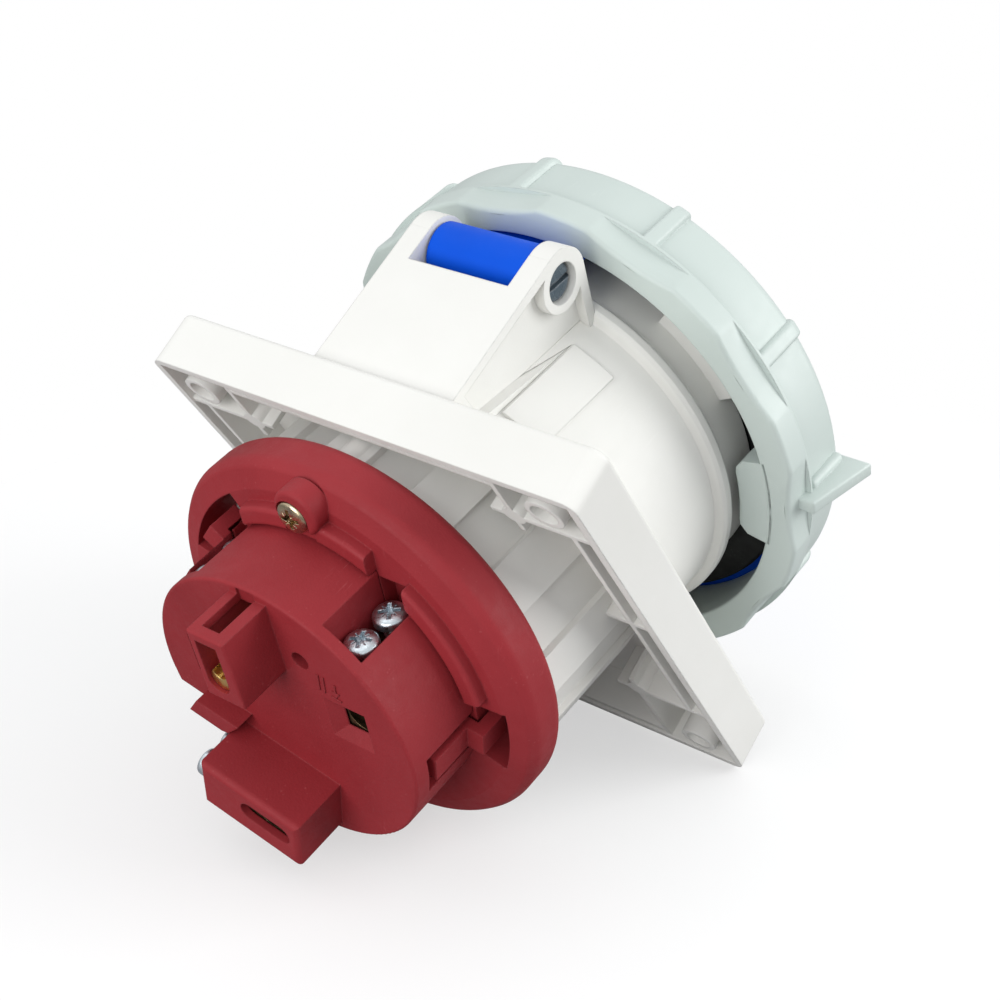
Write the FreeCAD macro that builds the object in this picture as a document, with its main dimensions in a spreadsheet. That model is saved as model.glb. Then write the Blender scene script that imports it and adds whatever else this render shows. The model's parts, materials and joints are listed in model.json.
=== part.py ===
"""Angled panel-mounting power inlet, 63 A, two poles and earth, with a sprung lid and a locking ring.

Row frame: the origin is the centre of the flange's back face, +X runs along the flange's width,
+Z is up and -Y points out of the panel towards the user. Most pieces are drawn in the inlet's own
frame and then seated: there Z runs forward along the tilted collar, Y is up across the collar and
Z = 0 is where the collar's axis crosses the flange's back face. Lengths are in millimetres.
"""

import FreeCAD, Part
import os
import re
from math import cos, radians, sin

import Sketcher
from FreeCAD import Placement, Rotation, Vector

doc = FreeCAD.newDocument("panel_inlet")

# --- driving dimensions -------------------------------------------------------------------------

DIMENSIONS = [
    ("tilt", 21.0, "collar axis below the horizontal, degrees"),
    ("axis_rise", 8.7, "height of the collar axis in the flange's back face"),
    ("flange_width", 100.0, "flange along X"),
    ("flange_height", 112.0, "flange along Z"),
    ("flange_depth", 11.6, "flange from its back face to its front"),
    ("flange_wall", 1.8, "rim wall of the hollow flange"),
    ("flange_plate", 2.6, "front plate of the hollow flange"),
    ("rib", 1.2, "stiffening ribs in the flange"),
    ("hole_pitch_x", 82.0, "fixing holes, across"),
    ("hole_pitch_z", 96.0, "fixing holes, up"),
    ("hole_rad", 2.75, "fixing holes for M5"),
    ("cell_x", 31.5, "ribs that close the corner cells, from the middle"),
    ("cell_top", 41.5, "upper cell rib"),
    ("cell_low", 31.0, "lower cell rib, below the middle"),
    ("sleeve_rad", 37.5, "sleeve behind the flange"),
    ("sleeve_bore", 33.0, "bore that takes the contact carrier"),
    ("sleeve_back", 19.6, "end of the sleeve behind the flange"),
    ("collar_rad", 40.0, "collar in front of the flange"),
    ("cup_rad", 35.5, "inside of the cup round the pins"),
    ("cup_floor", 7.7, "cup floor, behind the crossing point"),
    ("mouth", 51.0, "front edge of the collar"),
    ("nose_rad", 40.4, "collar in front of its bead"),
    ("bead_rad", 42.2, "bead round the collar"),
    ("cam_rad", 44.4, "bayonet cams"),
    ("cam_start", 46.8, "back of the bayonet cams"),
    ("hinge_up", 50.1, "hinge pin above the collar axis"),
    ("hinge_out", 29.3, "hinge pin in front of the crossing point"),
    ("tower_half", 16.5, "half width of the hinge tower"),
    ("gap_half", 11.8, "half width between the hinge ears"),
    ("ear_rad", 7.0, "round end of a hinge ear"),
    ("pivot_rad", 2.5, "hinge pin"),
    ("pivot_head", 4.0, "head of the hinge pin"),
    ("barrel_rad", 6.0, "lid's hinge barrel"),
    ("barrel_end", 11.3, "ends of the hinge barrel, from the middle"),
    ("lid_rad", 50.4, "lid"),
    ("seal_rad", 47.6, "outside of the lid seal"),
    ("lid_back", 53.7, "inner face of the lid"),
    ("lid_front", 57.9, "outer face of the lid"),
    ("ring_bore", 49.2, "locking ring's bore, behind the lid"),
    ("ring_seat", 51.0, "locking ring's bore round the lid"),
    ("lug_front", 45.9, "front of the ring's lugs"),
    ("ring_rad", 54.8, "locking ring's cup"),
    ("rim_rad", 56.0, "locking ring's thick back rim"),
    ("ring_back", 41.0, "locking ring's back face"),
    ("ring_front", 61.0, "locking ring's front face"),
    ("rim_front", 47.6, "front of the thick rim"),
    ("lug_rad", 43.0, "inner edge of the ring's lugs"),
    ("disc_rad", 42.6, "contact carrier's disc"),
    ("disc_front", 19.8, "front of the disc, behind the crossing point"),
    ("disc_back", 30.6, "back of the disc"),
    ("ledge_high", 2.6, "curved ledge on the disc's back"),
    ("drum_rad", 30.6, "terminal block"),
    ("drum_back", 48.1, "back face of the terminal block"),
    ("screw_x", -0.6, "carrier screw, across"),
    ("screw_y", 36.2, "carrier screw, up"),
    ("pole_x", 15.6, "line and neutral pins, across"),
    ("pole_y", 9.0, "line and neutral pins, up"),
    ("pole_rad", 4.0, "line and neutral pins"),
    ("earth_y", 18.0, "earth pin, below the axis"),
    ("earth_rad", 5.0, "earth pin"),
    ("pilot_rad", 3.0, "pilot pin"),
    ("pin_tip", 37.0, "tips of the power pins"),
    ("pilot_tip", 27.0, "tip of the shorter pilot pin"),
    ("clamp_x", 18.6, "line and neutral clamp screws, across"),
    ("fit", 0.1, "assembly clearance"),
]
SCOOPS = 11
SCOOP_PITCH = 360.0 / SCOOPS
WING_ANGLE = 180.7
LUG_ANGLES = [180.7, 60.7, 300.7]
LOCKING_TURN = 40.0
EARTH_BLOCK_TURN = 14.0

sheet = doc.addObject("Spreadsheet::Sheet", "Sizes")
for row, (alias, number, meaning) in enumerate(DIMENSIONS, start=1):
    sheet.set(f"A{row}", meaning)
    sheet.set(f"B{row}", str(number))
    sheet.setAlias(f"B{row}", alias)
doc.recompute()
ALIASES = {alias for alias, _, _ in DIMENSIONS}


# --- small helpers ------------------------------------------------------------------------------


def bound(expression):
    """The expression with each dimension's alias pointed at the sheet."""
    return re.sub(r"[a-z_]+", lambda m: "Sizes." + m[0] if m[0] in ALIASES else m[0], expression)


def number(expression):
    """The expression's present value."""
    return float(sheet.evalExpression(bound(expression).replace("Sizes.", "")))


def box(name, x, y, z):
    """A block between two limits along each axis."""
    block = doc.addObject("Part::Box", name)
    for side, letter, (low, high) in zip(("Length", "Width", "Height"), "xyz", (x, y, z)):
        block.setExpression(side, bound(f"({high}) - ({low})"))
        block.setExpression("Placement.Base." + letter, bound(low))
    return block


def rod(name, radius, span, at=("0", "0"), along="z", sweep=360.0):
    """A round bar along one axis; at gives its place across the other two, in X, Y, Z order."""
    bar = doc.addObject("Part::Cylinder", name)
    bar.Angle = sweep
    low, high = span
    bar.setExpression("Radius", bound(radius))
    bar.setExpression("Height", bound(f"({high}) - ({low})"))
    turns = {
        "x": Rotation(Vector(0, 1, 0), 90),
        "y": Rotation(Vector(1, 0, 0), -90),
        "z": Rotation(),
    }
    bar.Placement = Placement(Vector(), turns[along])
    across = [letter for letter in "xyz" if letter != along]
    bar.setExpression("Placement.Base." + along, bound(low))
    for letter, place in zip(across, at):
        bar.setExpression("Placement.Base." + letter, bound(place))
    return bar


def fuse(name, *pieces):
    """The pieces joined."""
    joined = doc.addObject("Part::MultiFuse", name)
    joined.Shapes = list(pieces)
    return joined


def cut(name, base, *tools):
    """The base less the tools."""
    left = doc.addObject("Part::Cut", name)
    left.Base = base
    left.Tool = tools[0] if len(tools) == 1 else fuse(name + "_tools", *tools)
    return left


def group(name, *pieces):
    """Separate solids kept together as one sub-part."""
    together = doc.addObject("Part::Compound", name)
    together.Links = list(pieces)
    return together


def turn(piece, angle):
    """Turns a piece about the collar axis, by degrees."""
    piece.Placement = Placement(Vector(), Rotation(Vector(0, 0, 1), angle)).multiply(piece.Placement)
    return piece


def sector(name, inner, outer, span, middle, sweep):
    """Part of a flat ring round the collar axis, centred on an angle."""
    low, high = span
    slice_ = rod(name + "_slice", outer, span, sweep=sweep)
    slice_.Placement.Rotation = Rotation(Vector(0, 0, 1), middle - sweep / 2)
    return cut(name, slice_, rod(name + "_core", inner, (f"({low}) - 1", f"({high}) + 1")))


def fill_outline(sketch, points):
    """A closed outline whose corners are bound to expressions."""
    corners = [(number(across), number(up)) for across, up in points]
    for index, corner in enumerate(corners):
        following = corners[(index + 1) % len(corners)]
        sketch.addGeometry(Part.LineSegment(Vector(*corner, 0), Vector(*following, 0)))
    for index in range(len(corners)):
        following = (index + 1) % len(corners)
        sketch.addConstraint(Sketcher.Constraint("Coincident", index, 2, following, 1))
    for index, (names, values) in enumerate(zip(points, corners)):
        for kind, axis, name, value in zip(("DistanceX", "DistanceY"), (-2, -1), names, values):
            if abs(value) < 1e-9:
                sketch.addConstraint(Sketcher.Constraint("PointOnObject", index, 1, axis))
            else:
                place = sketch.addConstraint(Sketcher.Constraint(kind, -1, 1, index, 1, value))
                sketch.setExpression(f"Constraints[{place}]", bound(name))


def turned(name, points):
    """A body turned round the collar axis from an outline of (radius, forward) corners."""
    body = doc.addObject("PartDesign::Body", name)
    sketch = body.newObject("Sketcher::SketchObject", name + "_outline")
    plane = [feature for feature in body.Origin.OriginFeatures if feature.Role == "XZ_Plane"][0]
    sketch.AttachmentSupport = [(plane, "")]
    sketch.MapMode = "FlatFace"
    fill_outline(sketch, points)
    revolution = body.newObject("PartDesign::Revolution", name + "_turned")
    revolution.Profile = sketch
    revolution.ReferenceAxis = (sketch, ["V_Axis"])
    revolution.Angle = 360.0
    body.Tip = revolution
    return body


def slab(name, points, thickness):
    """An outline of (up, forward) corners, thickened evenly to both sides of the middle plane."""
    sketch = doc.addObject("Sketcher::SketchObject", name + "_outline")
    # The sketch's own X and Y lie along Y and Z.
    sketch.Placement = Placement(Vector(), Rotation(Vector(1, 1, 1), 120))
    fill_outline(sketch, points)
    plate = doc.addObject("Part::Extrusion", name)
    plate.Base = sketch
    plate.DirMode = "Custom"
    plate.Dir = Vector(1, 0, 0)
    plate.Symmetric = True
    plate.Solid = True
    plate.setExpression("LengthFwd", bound(thickness))
    return plate


def round_edges(name, base, sizes):
    """Rounds the edges that each test picks; sizes holds (test, radius) pairs."""
    doc.recompute()
    rounded = doc.addObject("Part::Fillet", name)
    rounded.Base = base
    chosen = []
    for index, edge in enumerate(base.Shape.Edges, start=1):
        for test, radius in sizes:
            if test(edge):
                chosen.append((index, radius, radius))
                break
    rounded.Edges = chosen
    return rounded


def circle_at(radius, forward):
    """Tests for a round edge about the collar axis."""

    def test(edge):
        curve = edge.Curve
        round_ = curve.TypeId == "Part::GeomCircle" and abs(curve.Radius - radius) < 0.01
        return round_ and abs(curve.Center.z - forward) < 0.01 and abs(curve.Center.x) < 0.01

    return test


NODES = []


def finish(piece, label):
    """Names a finished sub-part."""
    piece.Label = label
    NODES.append(piece)
    return piece


def seat(piece, label=None):
    """Puts a piece drawn in the inlet's own frame into the row frame."""
    piece.Placement = Placement(Vector(), Rotation(Vector(1, 0, 0), 111))
    piece.setExpression("Placement.Base.z", "Sizes.axis_rise")
    piece.setExpression("Placement.Rotation.Angle", "90 + Sizes.tilt")
    return finish(piece, label) if label else piece


# --- housing: one moulding, drawn as its collar and sleeve, its flange and its hinge tower ---------


def flange_tray():
    """The hollow flange with its rim wall, open at the back. Drawn in the row frame."""
    outer = box(
        "flange_block",
        ("-flange_width / 2", "flange_width / 2"),
        ("-flange_depth", "0"),
        ("-flange_height / 2", "flange_height / 2"),
    )
    corner_rad, front_rad = 3.0, 1.2

    def corner(edge):
        return abs(edge.tangentAt(edge.FirstParameter).y) > 0.99

    def front(edge):
        return abs(edge.CenterOfMass.y + number("flange_depth")) < 0.01

    softened = round_edges("flange_soft", outer, [(corner, corner_rad), (front, front_rad)])
    hollow = box(
        "flange_hollow",
        ("flange_wall - flange_width / 2", "flange_width / 2 - flange_wall"),
        ("flange_plate - flange_depth", "1"),
        ("flange_wall - flange_height / 2", "flange_height / 2 - flange_wall"),
    )
    return cut("flange_tray", softened, hollow)


def flange_ribs():
    """Ribs that close a cell round each fixing hole, inner walls, and a tube round each hole."""
    deep = ("flange_plate - flange_depth - 0.5", "-0.4")
    edge_x = "flange_width / 2 - 1"
    edge_z = "flange_height / 2 - 1"
    spill = "5"
    inner_wall_x = 44.2
    inner_wall_z = 52.3
    web_z = 8.5
    made = []

    def rib(name, x, z):
        made.append(box(name, x, deep, z))

    for side, sign in (("right", ""), ("left", "-")):
        low = "(" if sign else ""

        def across(inner, outer, sign=sign):
            return (f"-({outer})", f"-({inner})") if sign else (inner, outer)

        def thin(middle, sign=sign):
            return (f"{sign}({middle}) - rib / 2", f"{sign}({middle}) + rib / 2")

        rib(f"cell_{side}_upper", thin("cell_x"), (f"cell_top - {spill}", edge_z))
        rib(f"cell_{side}_lower", thin("cell_x"), (f"-({edge_z})", f"{spill} - cell_low"))
        level = across(f"cell_x - {spill}", edge_x)
        rib(f"shelf_{side}_upper", level, ("cell_top - rib / 2", "cell_top + rib / 2"))
        rib(f"shelf_{side}_lower", level, ("-cell_low - rib / 2", "rib / 2 - cell_low"))
        rib(f"wall_{side}", thin(str(inner_wall_x)), ("-cell_low", "cell_top"))
        rib(f"web_{side}", across("sleeve_rad", edge_x), (f"{web_z} - rib / 2", f"{web_z} + rib / 2"))
        for height, level_z in (("upper", "cell_top"), ("lower", "-cell_low")):
            made.append(rod(f"knot_{side}_{height}", "rib * 2", deep, (f"{sign}cell_x", level_z), "y"))
        for height, up in (("upper", ""), ("lower", "-")):
            place = (f"{sign}hole_pitch_x / 2", f"{up}hole_pitch_z / 2")
            tube_span = (deep[0], "0")
            made.append(rod(f"tube_{side}_{height}", "hole_rad + 1.2", tube_span, place, "y"))
    for height, sign in (("upper", ""), ("lower", "-")):
        middle = f"{sign}{inner_wall_z}"
        rib(f"wall_{height}", ("-cell_x", "cell_x"), (f"{middle} - rib / 2", f"{middle} + rib / 2"))
    return made


def fixing_holes():
    """Four plain holes for the panel screws."""
    holes = []
    for x_sign in ("", "-"):
        for z_sign in ("", "-"):
            place = (f"{x_sign}hole_pitch_x / 2", f"{z_sign}hole_pitch_z / 2")
            holes.append(rod("fixing_hole", "hole_rad", ("-flange_depth - 1", "1"), place, "y"))
    return holes


def tower():
    """The hinge tower: a hollow bracket with two ears. Drawn in the inlet's own frame."""
    foot_back, foot_low = "-6.9", "34"
    profile = slab(
        "tower_profile",
        [
            (foot_low, "-2.3"),
            ("46.2", foot_back),
            ("hinge_up + ear_rad - 0.45", "hinge_out - 2.6"),
            ("hinge_up", "hinge_out + ear_rad"),
            ("35", "37.6"),
        ],
        "tower_half * 2",
    )
    ears = rod("ears", "ear_rad", ("-tower_half", "tower_half"), ("hinge_up", "hinge_out"), "x")
    solid = fuse("tower_solid", profile, ears)
    gap = box("ear_gap", ("-gap_half", "gap_half"), ("collar_rad + 1", "70"), ("19.5", "45"))
    recess_outline = slab(
        "recess_profile",
        [
            ("38.5", "1"),
            ("45.6", "-2"),
            ("hinge_up + 3.6", "hinge_out - 5"),
            ("hinge_up - 1", "hinge_out + 4.6"),
            ("36", "35.3"),
        ],
        "tower_half * 2 + 2",
    )
    web = box("tower_web", ("2.2 - tower_half", "tower_half - 2.2"), ("20", "70"), ("-30", "60"))
    hub = rod("pivot_hub", "ear_rad - 1", ("-30", "30"), ("hinge_up", "hinge_out"), "x")
    recess = cut("tower_recess", recess_outline, web, hub)
    return cut("tower", solid, gap, recess)


def pivot_hole():
    """The hole for the hinge pin through both ears, with a seat for its head."""
    through = rod("pivot_hole", "pivot_rad + 0.05", ("-20", "20"), ("hinge_up", "hinge_out"), "x")
    seat_span = ("-20", "3.4 - tower_half")
    head_seat = rod("head_seat", "pivot_head + 0.15", seat_span, ("hinge_up", "hinge_out"), "x")
    tang_hole = rod("tang_hole", "0.7", ("gap_half - 1", "gap_half + 2"), ("hinge_up - 4.3", "hinge_out"), "x")
    return fuse("pivot_holes", through, head_seat, tang_hole)


def housing():
    """The white moulding: a collar and sleeve, a flange round them and a hinge tower on top."""
    collar_skin = turned(
        "collar_skin",
        [
            ("0", "-15"),
            ("collar_rad", "-15"),
            ("collar_rad", "36.2"),
            ("bead_rad - 0.5", "36.9"),
            ("bead_rad", "37.7"),
            ("bead_rad", "39.3"),
            ("bead_rad - 0.5", "40.1"),
            ("nose_rad", "40.5"),
            ("nose_rad", "mouth - 0.8"),
            ("nose_rad - 0.8", "mouth"),
            ("0", "mouth"),
        ],
    )
    cam_sweep = 28.0
    cams = []
    for index, angle in enumerate(LUG_ANGLES):
        span = ("cam_start", "mouth - 0.2")
        middle = angle - LOCKING_TURN
        cams.append(sector(f"cam_{index}", "nose_rad - 1", "cam_rad", span, middle, cam_sweep))
    pads = [
        sector("pad_left", "collar_rad - 1", "collar_rad + 0.6", ("6", "29"), 122.0, 14.0),
        sector("pad_right", "collar_rad - 1", "collar_rad + 0.6", ("6", "29"), 58.0, 14.0),
    ]
    collar_parts = seat(fuse("collar_front", collar_skin, *cams, *pads))
    limits = ("-90", "90")
    behind_plate = box("behind_plate", limits, ("flange_plate / 2 - flange_depth", "90"), limits)
    behind_face = box("behind_face", limits, ("-flange_depth", "90"), limits)
    front = cut("collar_in_front", collar_parts, behind_plate)
    sleeve = rod("sleeve", "sleeve_rad", ("-sleeve_back", "20"))
    strips = []
    strip_count, strip_half = 12, 5.0
    for index in range(strip_count):
        limits = ("sleeve_rad - 2", "sleeve_rad + 1.1")
        strip = box(f"strip_{index}", limits, (str(-strip_half), str(strip_half)), ("-sleeve_back", "14"))
        doc.recompute()
        strip.setExpression("Placement.Base.x", None)
        strip.setExpression("Placement.Base.y", None)
        strips.append(turn(strip, index * 360.0 / strip_count))
    screw_boss = rod("screw_boss", "3.4", ("-sleeve_back", "-4"), ("screw_x", "screw_y"))
    rear = seat(fuse("sleeve_parts", sleeve, *strips, screw_boss))
    tube = fuse("collar_tube", front, rear)
    tray = fuse("flange_solid", flange_tray(), *flange_ribs())
    bracket = cut("tower_in_front", seat(tower()), behind_face)

    bore = rod("carrier_bore", "sleeve_bore", ("-sleeve_back - 20", "-cup_floor"))
    cup = rod("cup", "cup_rad", ("-cup_floor", "mouth + 20"))
    keyway = box("keyway", ("-4.2", "4.2"), ("-cup_rad - 2.3", "-20"), ("-4", "mouth + 5"))
    thread = rod("carrier_thread", "1.95", ("-sleeve_back - 1", "-8"), ("screw_x", "screw_y"))
    openings = seat(fuse("tilted_openings", bore, cup, keyway, thread))
    finish(cut("collar_cut", tube, openings), "housing_collar")
    finish(cut("flange_cut", tray, tube, openings, *fixing_holes()), "housing_flange")
    finish(cut("tower_cut", bracket, tube, seat(pivot_hole())), "housing_tower")


# --- lid, its seal, its locking ring and the hinge -------------------------------------------------


def lid():
    """The sprung lid: a shallow cap with a skirt, a seal seat and a hinge barrel on a neck."""
    cap = turned(
        "lid_cap",
        [
            ("0", "lid_back"),
            ("33.4", "lid_back"),
            ("33.4", "lid_back - 2.2"),
            ("34.9", "lid_back - 2.2"),
            ("34.9", "lid_back"),
            ("lid_rad", "lid_back"),
            ("lid_rad", "lid_front - 0.8"),
            ("lid_rad - 0.8", "lid_front"),
            ("43.5", "lid_front"),
            ("42.6", "lid_front - 1"),
            ("40.4", "lid_front - 1"),
            ("38.6", "lid_front + 1.6"),
            ("30", "lid_front + 2.4"),
            ("0", "lid_front + 2.8"),
        ],
    )
    barrel_span = ("-barrel_end", "barrel_end")
    barrel = rod("lid_barrel", "barrel_rad", barrel_span, ("hinge_up", "hinge_out"), "x")
    neck = slab(
        "lid_neck",
        [
            ("44.3", "hinge_out"),
            ("44.7", "lid_back + 2"),
            ("47.8", "lid_back + 2"),
            ("47.8", "hinge_out + 8.5"),
            ("52", "hinge_out + 5"),
            ("hinge_up", "hinge_out"),
        ],
        "20",
    )
    spring_room = rod("spring_room", "5.2", ("6.9", "20"), ("hinge_up", "hinge_out"), "x")
    bore = rod("barrel_bore", "pivot_rad + 0.06", ("-20", "20"), ("hinge_up", "hinge_out"), "x")
    body = fuse("lid_body", cap, barrel, neck)
    seat(cut("lid_cut", body, spring_room, bore), "lid")


def lid_seal():
    """A flat rubber ring that closes on the collar's front edge."""
    outline = [
        ("35.1", "mouth + 0.1"),
        ("seal_rad - 0.6", "mouth + 0.1"),
        ("seal_rad", "mouth + 0.7"),
        ("seal_rad", "lid_back - 0.05"),
        ("35.1", "lid_back - 0.05"),
    ]
    neck_room = box("neck_room", ("-10.4", "10.4"), ("44.3", "50"), ("50", "54"))
    seat(cut("seal_notched", turned("seal_ring", outline), neck_room), "lid_seal")


def locking_ring():
    """The bayonet ring on the lid: a scalloped rim, grip ribs, one wing and three lugs."""
    hoop = turned(
        "ring_hoop",
        [
            ("ring_bore", "ring_back"),
            ("rim_rad - 0.5", "ring_back"),
            ("rim_rad", "ring_back + 0.5"),
            ("rim_rad", "rim_front"),
            ("ring_rad", "rim_front + 1"),
            ("ring_rad", "ring_front"),
            ("ring_seat", "ring_front"),
            ("ring_seat", "lid_back - 0.3"),
            ("ring_bore", "lid_back - 0.3"),
        ],
    )
    edge_test = circle_at(number("ring_rad"), number("ring_front"))
    hoop = round_edges("ring_soft", hoop, [(edge_test, 3.2)])
    scoop_rad, scoop_bite, wing_thick = 50.0, 1.9, 3.2
    centre = number("rim_rad") - scoop_bite + scoop_rad
    scoops, ribs = [], []
    for index in range(SCOOPS):
        angle = WING_ANGLE + index * SCOOP_PITCH
        span = ("ring_back - 1", "rim_front - 1")
        scoop = rod(f"scoop_{index}", str(scoop_rad), span, (str(centre), "0"))
        doc.recompute()
        scoop.setExpression("Placement.Base.x", None)
        scoop.setExpression("Placement.Base.y", None)
        scoops.append(turn(scoop, angle))
        if index:
            reach = ("ring_rad - 1.5", "ring_rad + 1.3")
            rib = box(f"grip_{index}", reach, ("-1.6", "1.6"), ("rim_front - 1", "ring_front - 1.2"))
            doc.recompute()
            rib.setExpression("Placement.Base.x", None)
            rib.setExpression("Placement.Base.y", None)
            ribs.append(turn(rib, angle))
    wing = slab(
        "wing_plate",
        [
            ("ring_rad - 2.5", "ring_back + 3"),
            ("rim_rad + 2", "ring_back + 3"),
            ("rim_rad + 6.2", "ring_front - 1"),
            ("ring_rad - 2.5", "ring_front - 1"),
        ],
        str(wing_thick),
    )
    wing_root = slab(
        "wing_root",
        [
            ("ring_rad - 2.5", "ring_back + 7"),
            ("rim_rad + 0.2", "ring_back + 7"),
            ("rim_rad + 0.2", "ring_front - 2"),
            ("ring_rad - 2.5", "ring_front - 2"),
        ],
        str(wing_thick + 3.2),
    )
    # A slab stands along Y, a quarter turn from the angle's zero.
    wings = [turn(plate, WING_ANGLE - 90) for plate in (wing, wing_root)]
    lugs = []
    for index, angle in enumerate(LUG_ANGLES):
        span = ("ring_back", "lug_front")
        lugs.append(sector(f"lug_{index}", "lug_rad", "ring_bore + 1", span, angle, 24.0))
    scooped = cut("ring_scooped", hoop, *scoops)
    seat(fuse("ring_body", scooped, *ribs, *wings, *lugs), "locking_ring")


def retaining_ring():
    """The split snap ring in front of the lid that keeps the locking ring on it."""
    hoop = turned(
        "snap_hoop",
        [
            ("46", "ring_front - 2.6"),
            ("ring_seat - 0.1", "ring_front - 2.6"),
            ("ring_seat - 0.1", "ring_front - 1.2"),
            ("46", "ring_front - 1.2"),
        ],
    )
    split = box("snap_split", ("-2", "2"), ("-60", "-40"), ("50", "70"))
    seat(cut("snap_ring", hoop, split), "retaining_ring")


def hinge_pin():
    """The slotted pin that the lid swings on."""
    place = ("hinge_up", "hinge_out")
    shaft = rod("pivot_shaft", "pivot_rad", ("3 - tower_half", "tower_half - 0.4"), place, "x")
    head = rod("pivot_head_disc", "pivot_head", ("1.1 - tower_half", "3.35 - tower_half"), place, "x")
    doc.recompute()
    face = -number("tower_half") + 1.1

    def rim(edge):
        return edge.Curve.TypeId == "Part::GeomCircle" and abs(edge.CenterOfMass.x - face) < 0.01

    domed = round_edges("pivot_dome", head, [(rim, 1.1)])
    slot = box(
        "pivot_slot",
        ("-tower_half", "2.2 - tower_half"),
        ("hinge_up - 0.6", "hinge_up + 0.6"),
        ("hinge_out - 6", "hinge_out + 6"),
    )
    seat(cut("pivot", fuse("pivot_solid", shaft, domed), slot), "hinge_pin")


def torsion_spring():
    """Coils round the hinge pin, inside the barrel, and a tang that sits in the housing's ear."""
    coil_rad, wire_rad = 4.3, 0.55
    coils = []
    for index in range(3):
        coil = doc.addObject("Part::Torus", f"coil_{index}")
        coil.Radius1 = coil_rad
        coil.Radius2 = wire_rad
        place = Vector(8.0 + 1.05 * index, number("hinge_up"), number("hinge_out"))
        coil.Placement = Placement(place, Rotation(Vector(0, 1, 0), 90))
        coils.append(coil)
    tang_place = (f"hinge_up - {coil_rad}", "hinge_out")
    tang = rod("spring_tang", str(wire_rad), ("10.1", "gap_half + 1.6"), tang_place, "x")
    seat(fuse("spring", *coils, tang), "torsion_spring")


# --- contact carrier and terminal block -----------------------------------------------------------


def contact_carrier():
    """The front insulator: a plug in the sleeve, an outer disc, and holes for the pins."""
    body = turned(
        "carrier_turned",
        [
            ("0", "-cup_floor - 0.3"),
            ("sleeve_bore - 1.2", "-cup_floor - 0.3"),
            ("sleeve_bore - 0.4", "-cup_floor - 1.1"),
            ("sleeve_bore - 0.4", "-11.4"),
            ("30.4", "-11.4"),
            ("30.4", "-14.6"),
            ("sleeve_bore - 0.4", "-14.6"),
            ("sleeve_bore - 0.4", "-disc_front"),
            ("disc_rad", "-disc_front"),
            ("disc_rad", "3.2 - disc_back"),
            ("disc_rad - 1.2", "1.5 - disc_back"),
            ("37.4", "-disc_back"),
            ("0", "-disc_back"),
        ],
    )
    rim_back = circle_at(number("disc_rad"), 3.2 - number("disc_back"))
    rim_slope = circle_at(number("disc_rad") - 1.2, 1.5 - number("disc_back"))
    rim_front = circle_at(number("disc_rad"), -number("disc_front"))
    rounded = round_edges("carrier_soft", body, [(rim_back, 2.4), (rim_slope, 1.2), (rim_front, 2.6)])
    ledge_span = ("-disc_back - ledge_high", "1 - disc_back")
    ledge = sector("ledge", "drum_rad + 0.5", "drum_rad + 4.4", ledge_span, 116.5, 113.0)

    def ledge_top(edge):
        flat = abs(edge.BoundBox.ZMin + number("disc_back + ledge_high")) < 0.01
        return flat and edge.BoundBox.ZLength < 0.01 and edge.Length > 8

    soft_ledge = round_edges("ledge_soft", ledge, [(ledge_top, 0.9)])
    boss_span = ("-disc_back - 3.6", "1 - disc_back")
    boss = rod("boss", "4.9", boss_span, ("screw_x - 0.8", "screw_y + 1"))

    def boss_top(edge):
        return edge.Closed and abs(edge.CenterOfMass.z + number("disc_back") + 3.6) < 0.01

    soft_boss = round_edges("boss_soft", boss, [(boss_top, 0.9)])
    full = fuse("carrier_full", rounded, soft_ledge, soft_boss)

    seat_span = ("-disc_back - 6", "-disc_back - 2")
    head_room = rod("head_room", "3.65", seat_span, ("screw_x", "screw_y"))
    head_gate = box(
        "head_gate",
        ("screw_x - 3.65", "screw_x + 3.65"),
        ("drum_rad - 2", "screw_y"),
        seat_span,
    )

    screw_hole = rod("carrier_hole", "2.1", ("-disc_back - 6", "0"), ("screw_x", "screw_y"))
    shallow, through = ("-disc_back - 5", "-22"), ("-disc_back - 5", "1 - disc_front")
    slots = [
        sector("slot_left", "drum_rad + 0.6", "35", shallow, 39.0, 38.0),
        sector("slot_right", "drum_rad + 0.6", "35", shallow, 190.0, 24.0),
        sector("slot_left_through", "33.4", "37.2", through, 39.0, 38.0),
        sector("slot_right_through", "33.4", "38", through, 190.0, 24.0),
    ]
    deep = ("-disc_back - 1", "0")
    pin_holes = [
        rod("line_hole", "pole_rad + fit", deep, ("-pole_x", "pole_y")),
        rod("neutral_hole", "pole_rad + fit", deep, ("pole_x", "pole_y")),
        rod("earth_hole", "earth_rad + fit", deep, ("0", "-earth_y")),
        rod("pilot_hole", "pilot_rad + fit", deep, ("0", "0")),
    ]
    pockets = [
        box("line_pocket", ("-22.8", "-12.6"), ("0.2", "14.8"), ("-disc_back - 1", "-28")),
        box("neutral_pocket", ("12.6", "22.8"), ("0.2", "14.8"), ("-disc_back - 1", "-28")),
        box("line_screw_room", ("-22.3", "-15"), ("12", "25.6"), ("-disc_back - 5", "-27.4")),
        box("neutral_screw_room", ("15", "22.3"), ("12", "25.6"), ("-disc_back - 5", "-27.4")),
        box("line_ledge_gap", ("-22.3", "-15"), ("25.4", "35.2"), ("-disc_back - 5", "-disc_back")),
        box("neutral_ledge_gap", ("15", "22.3"), ("25.4", "35.2"), ("-disc_back - 5", "-disc_back")),
    ]
    tools = [head_room, head_gate, screw_hole, *slots, *pin_holes, *pockets]
    seat(cut("carrier_cut", full, *tools), "contact_carrier")


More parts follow.
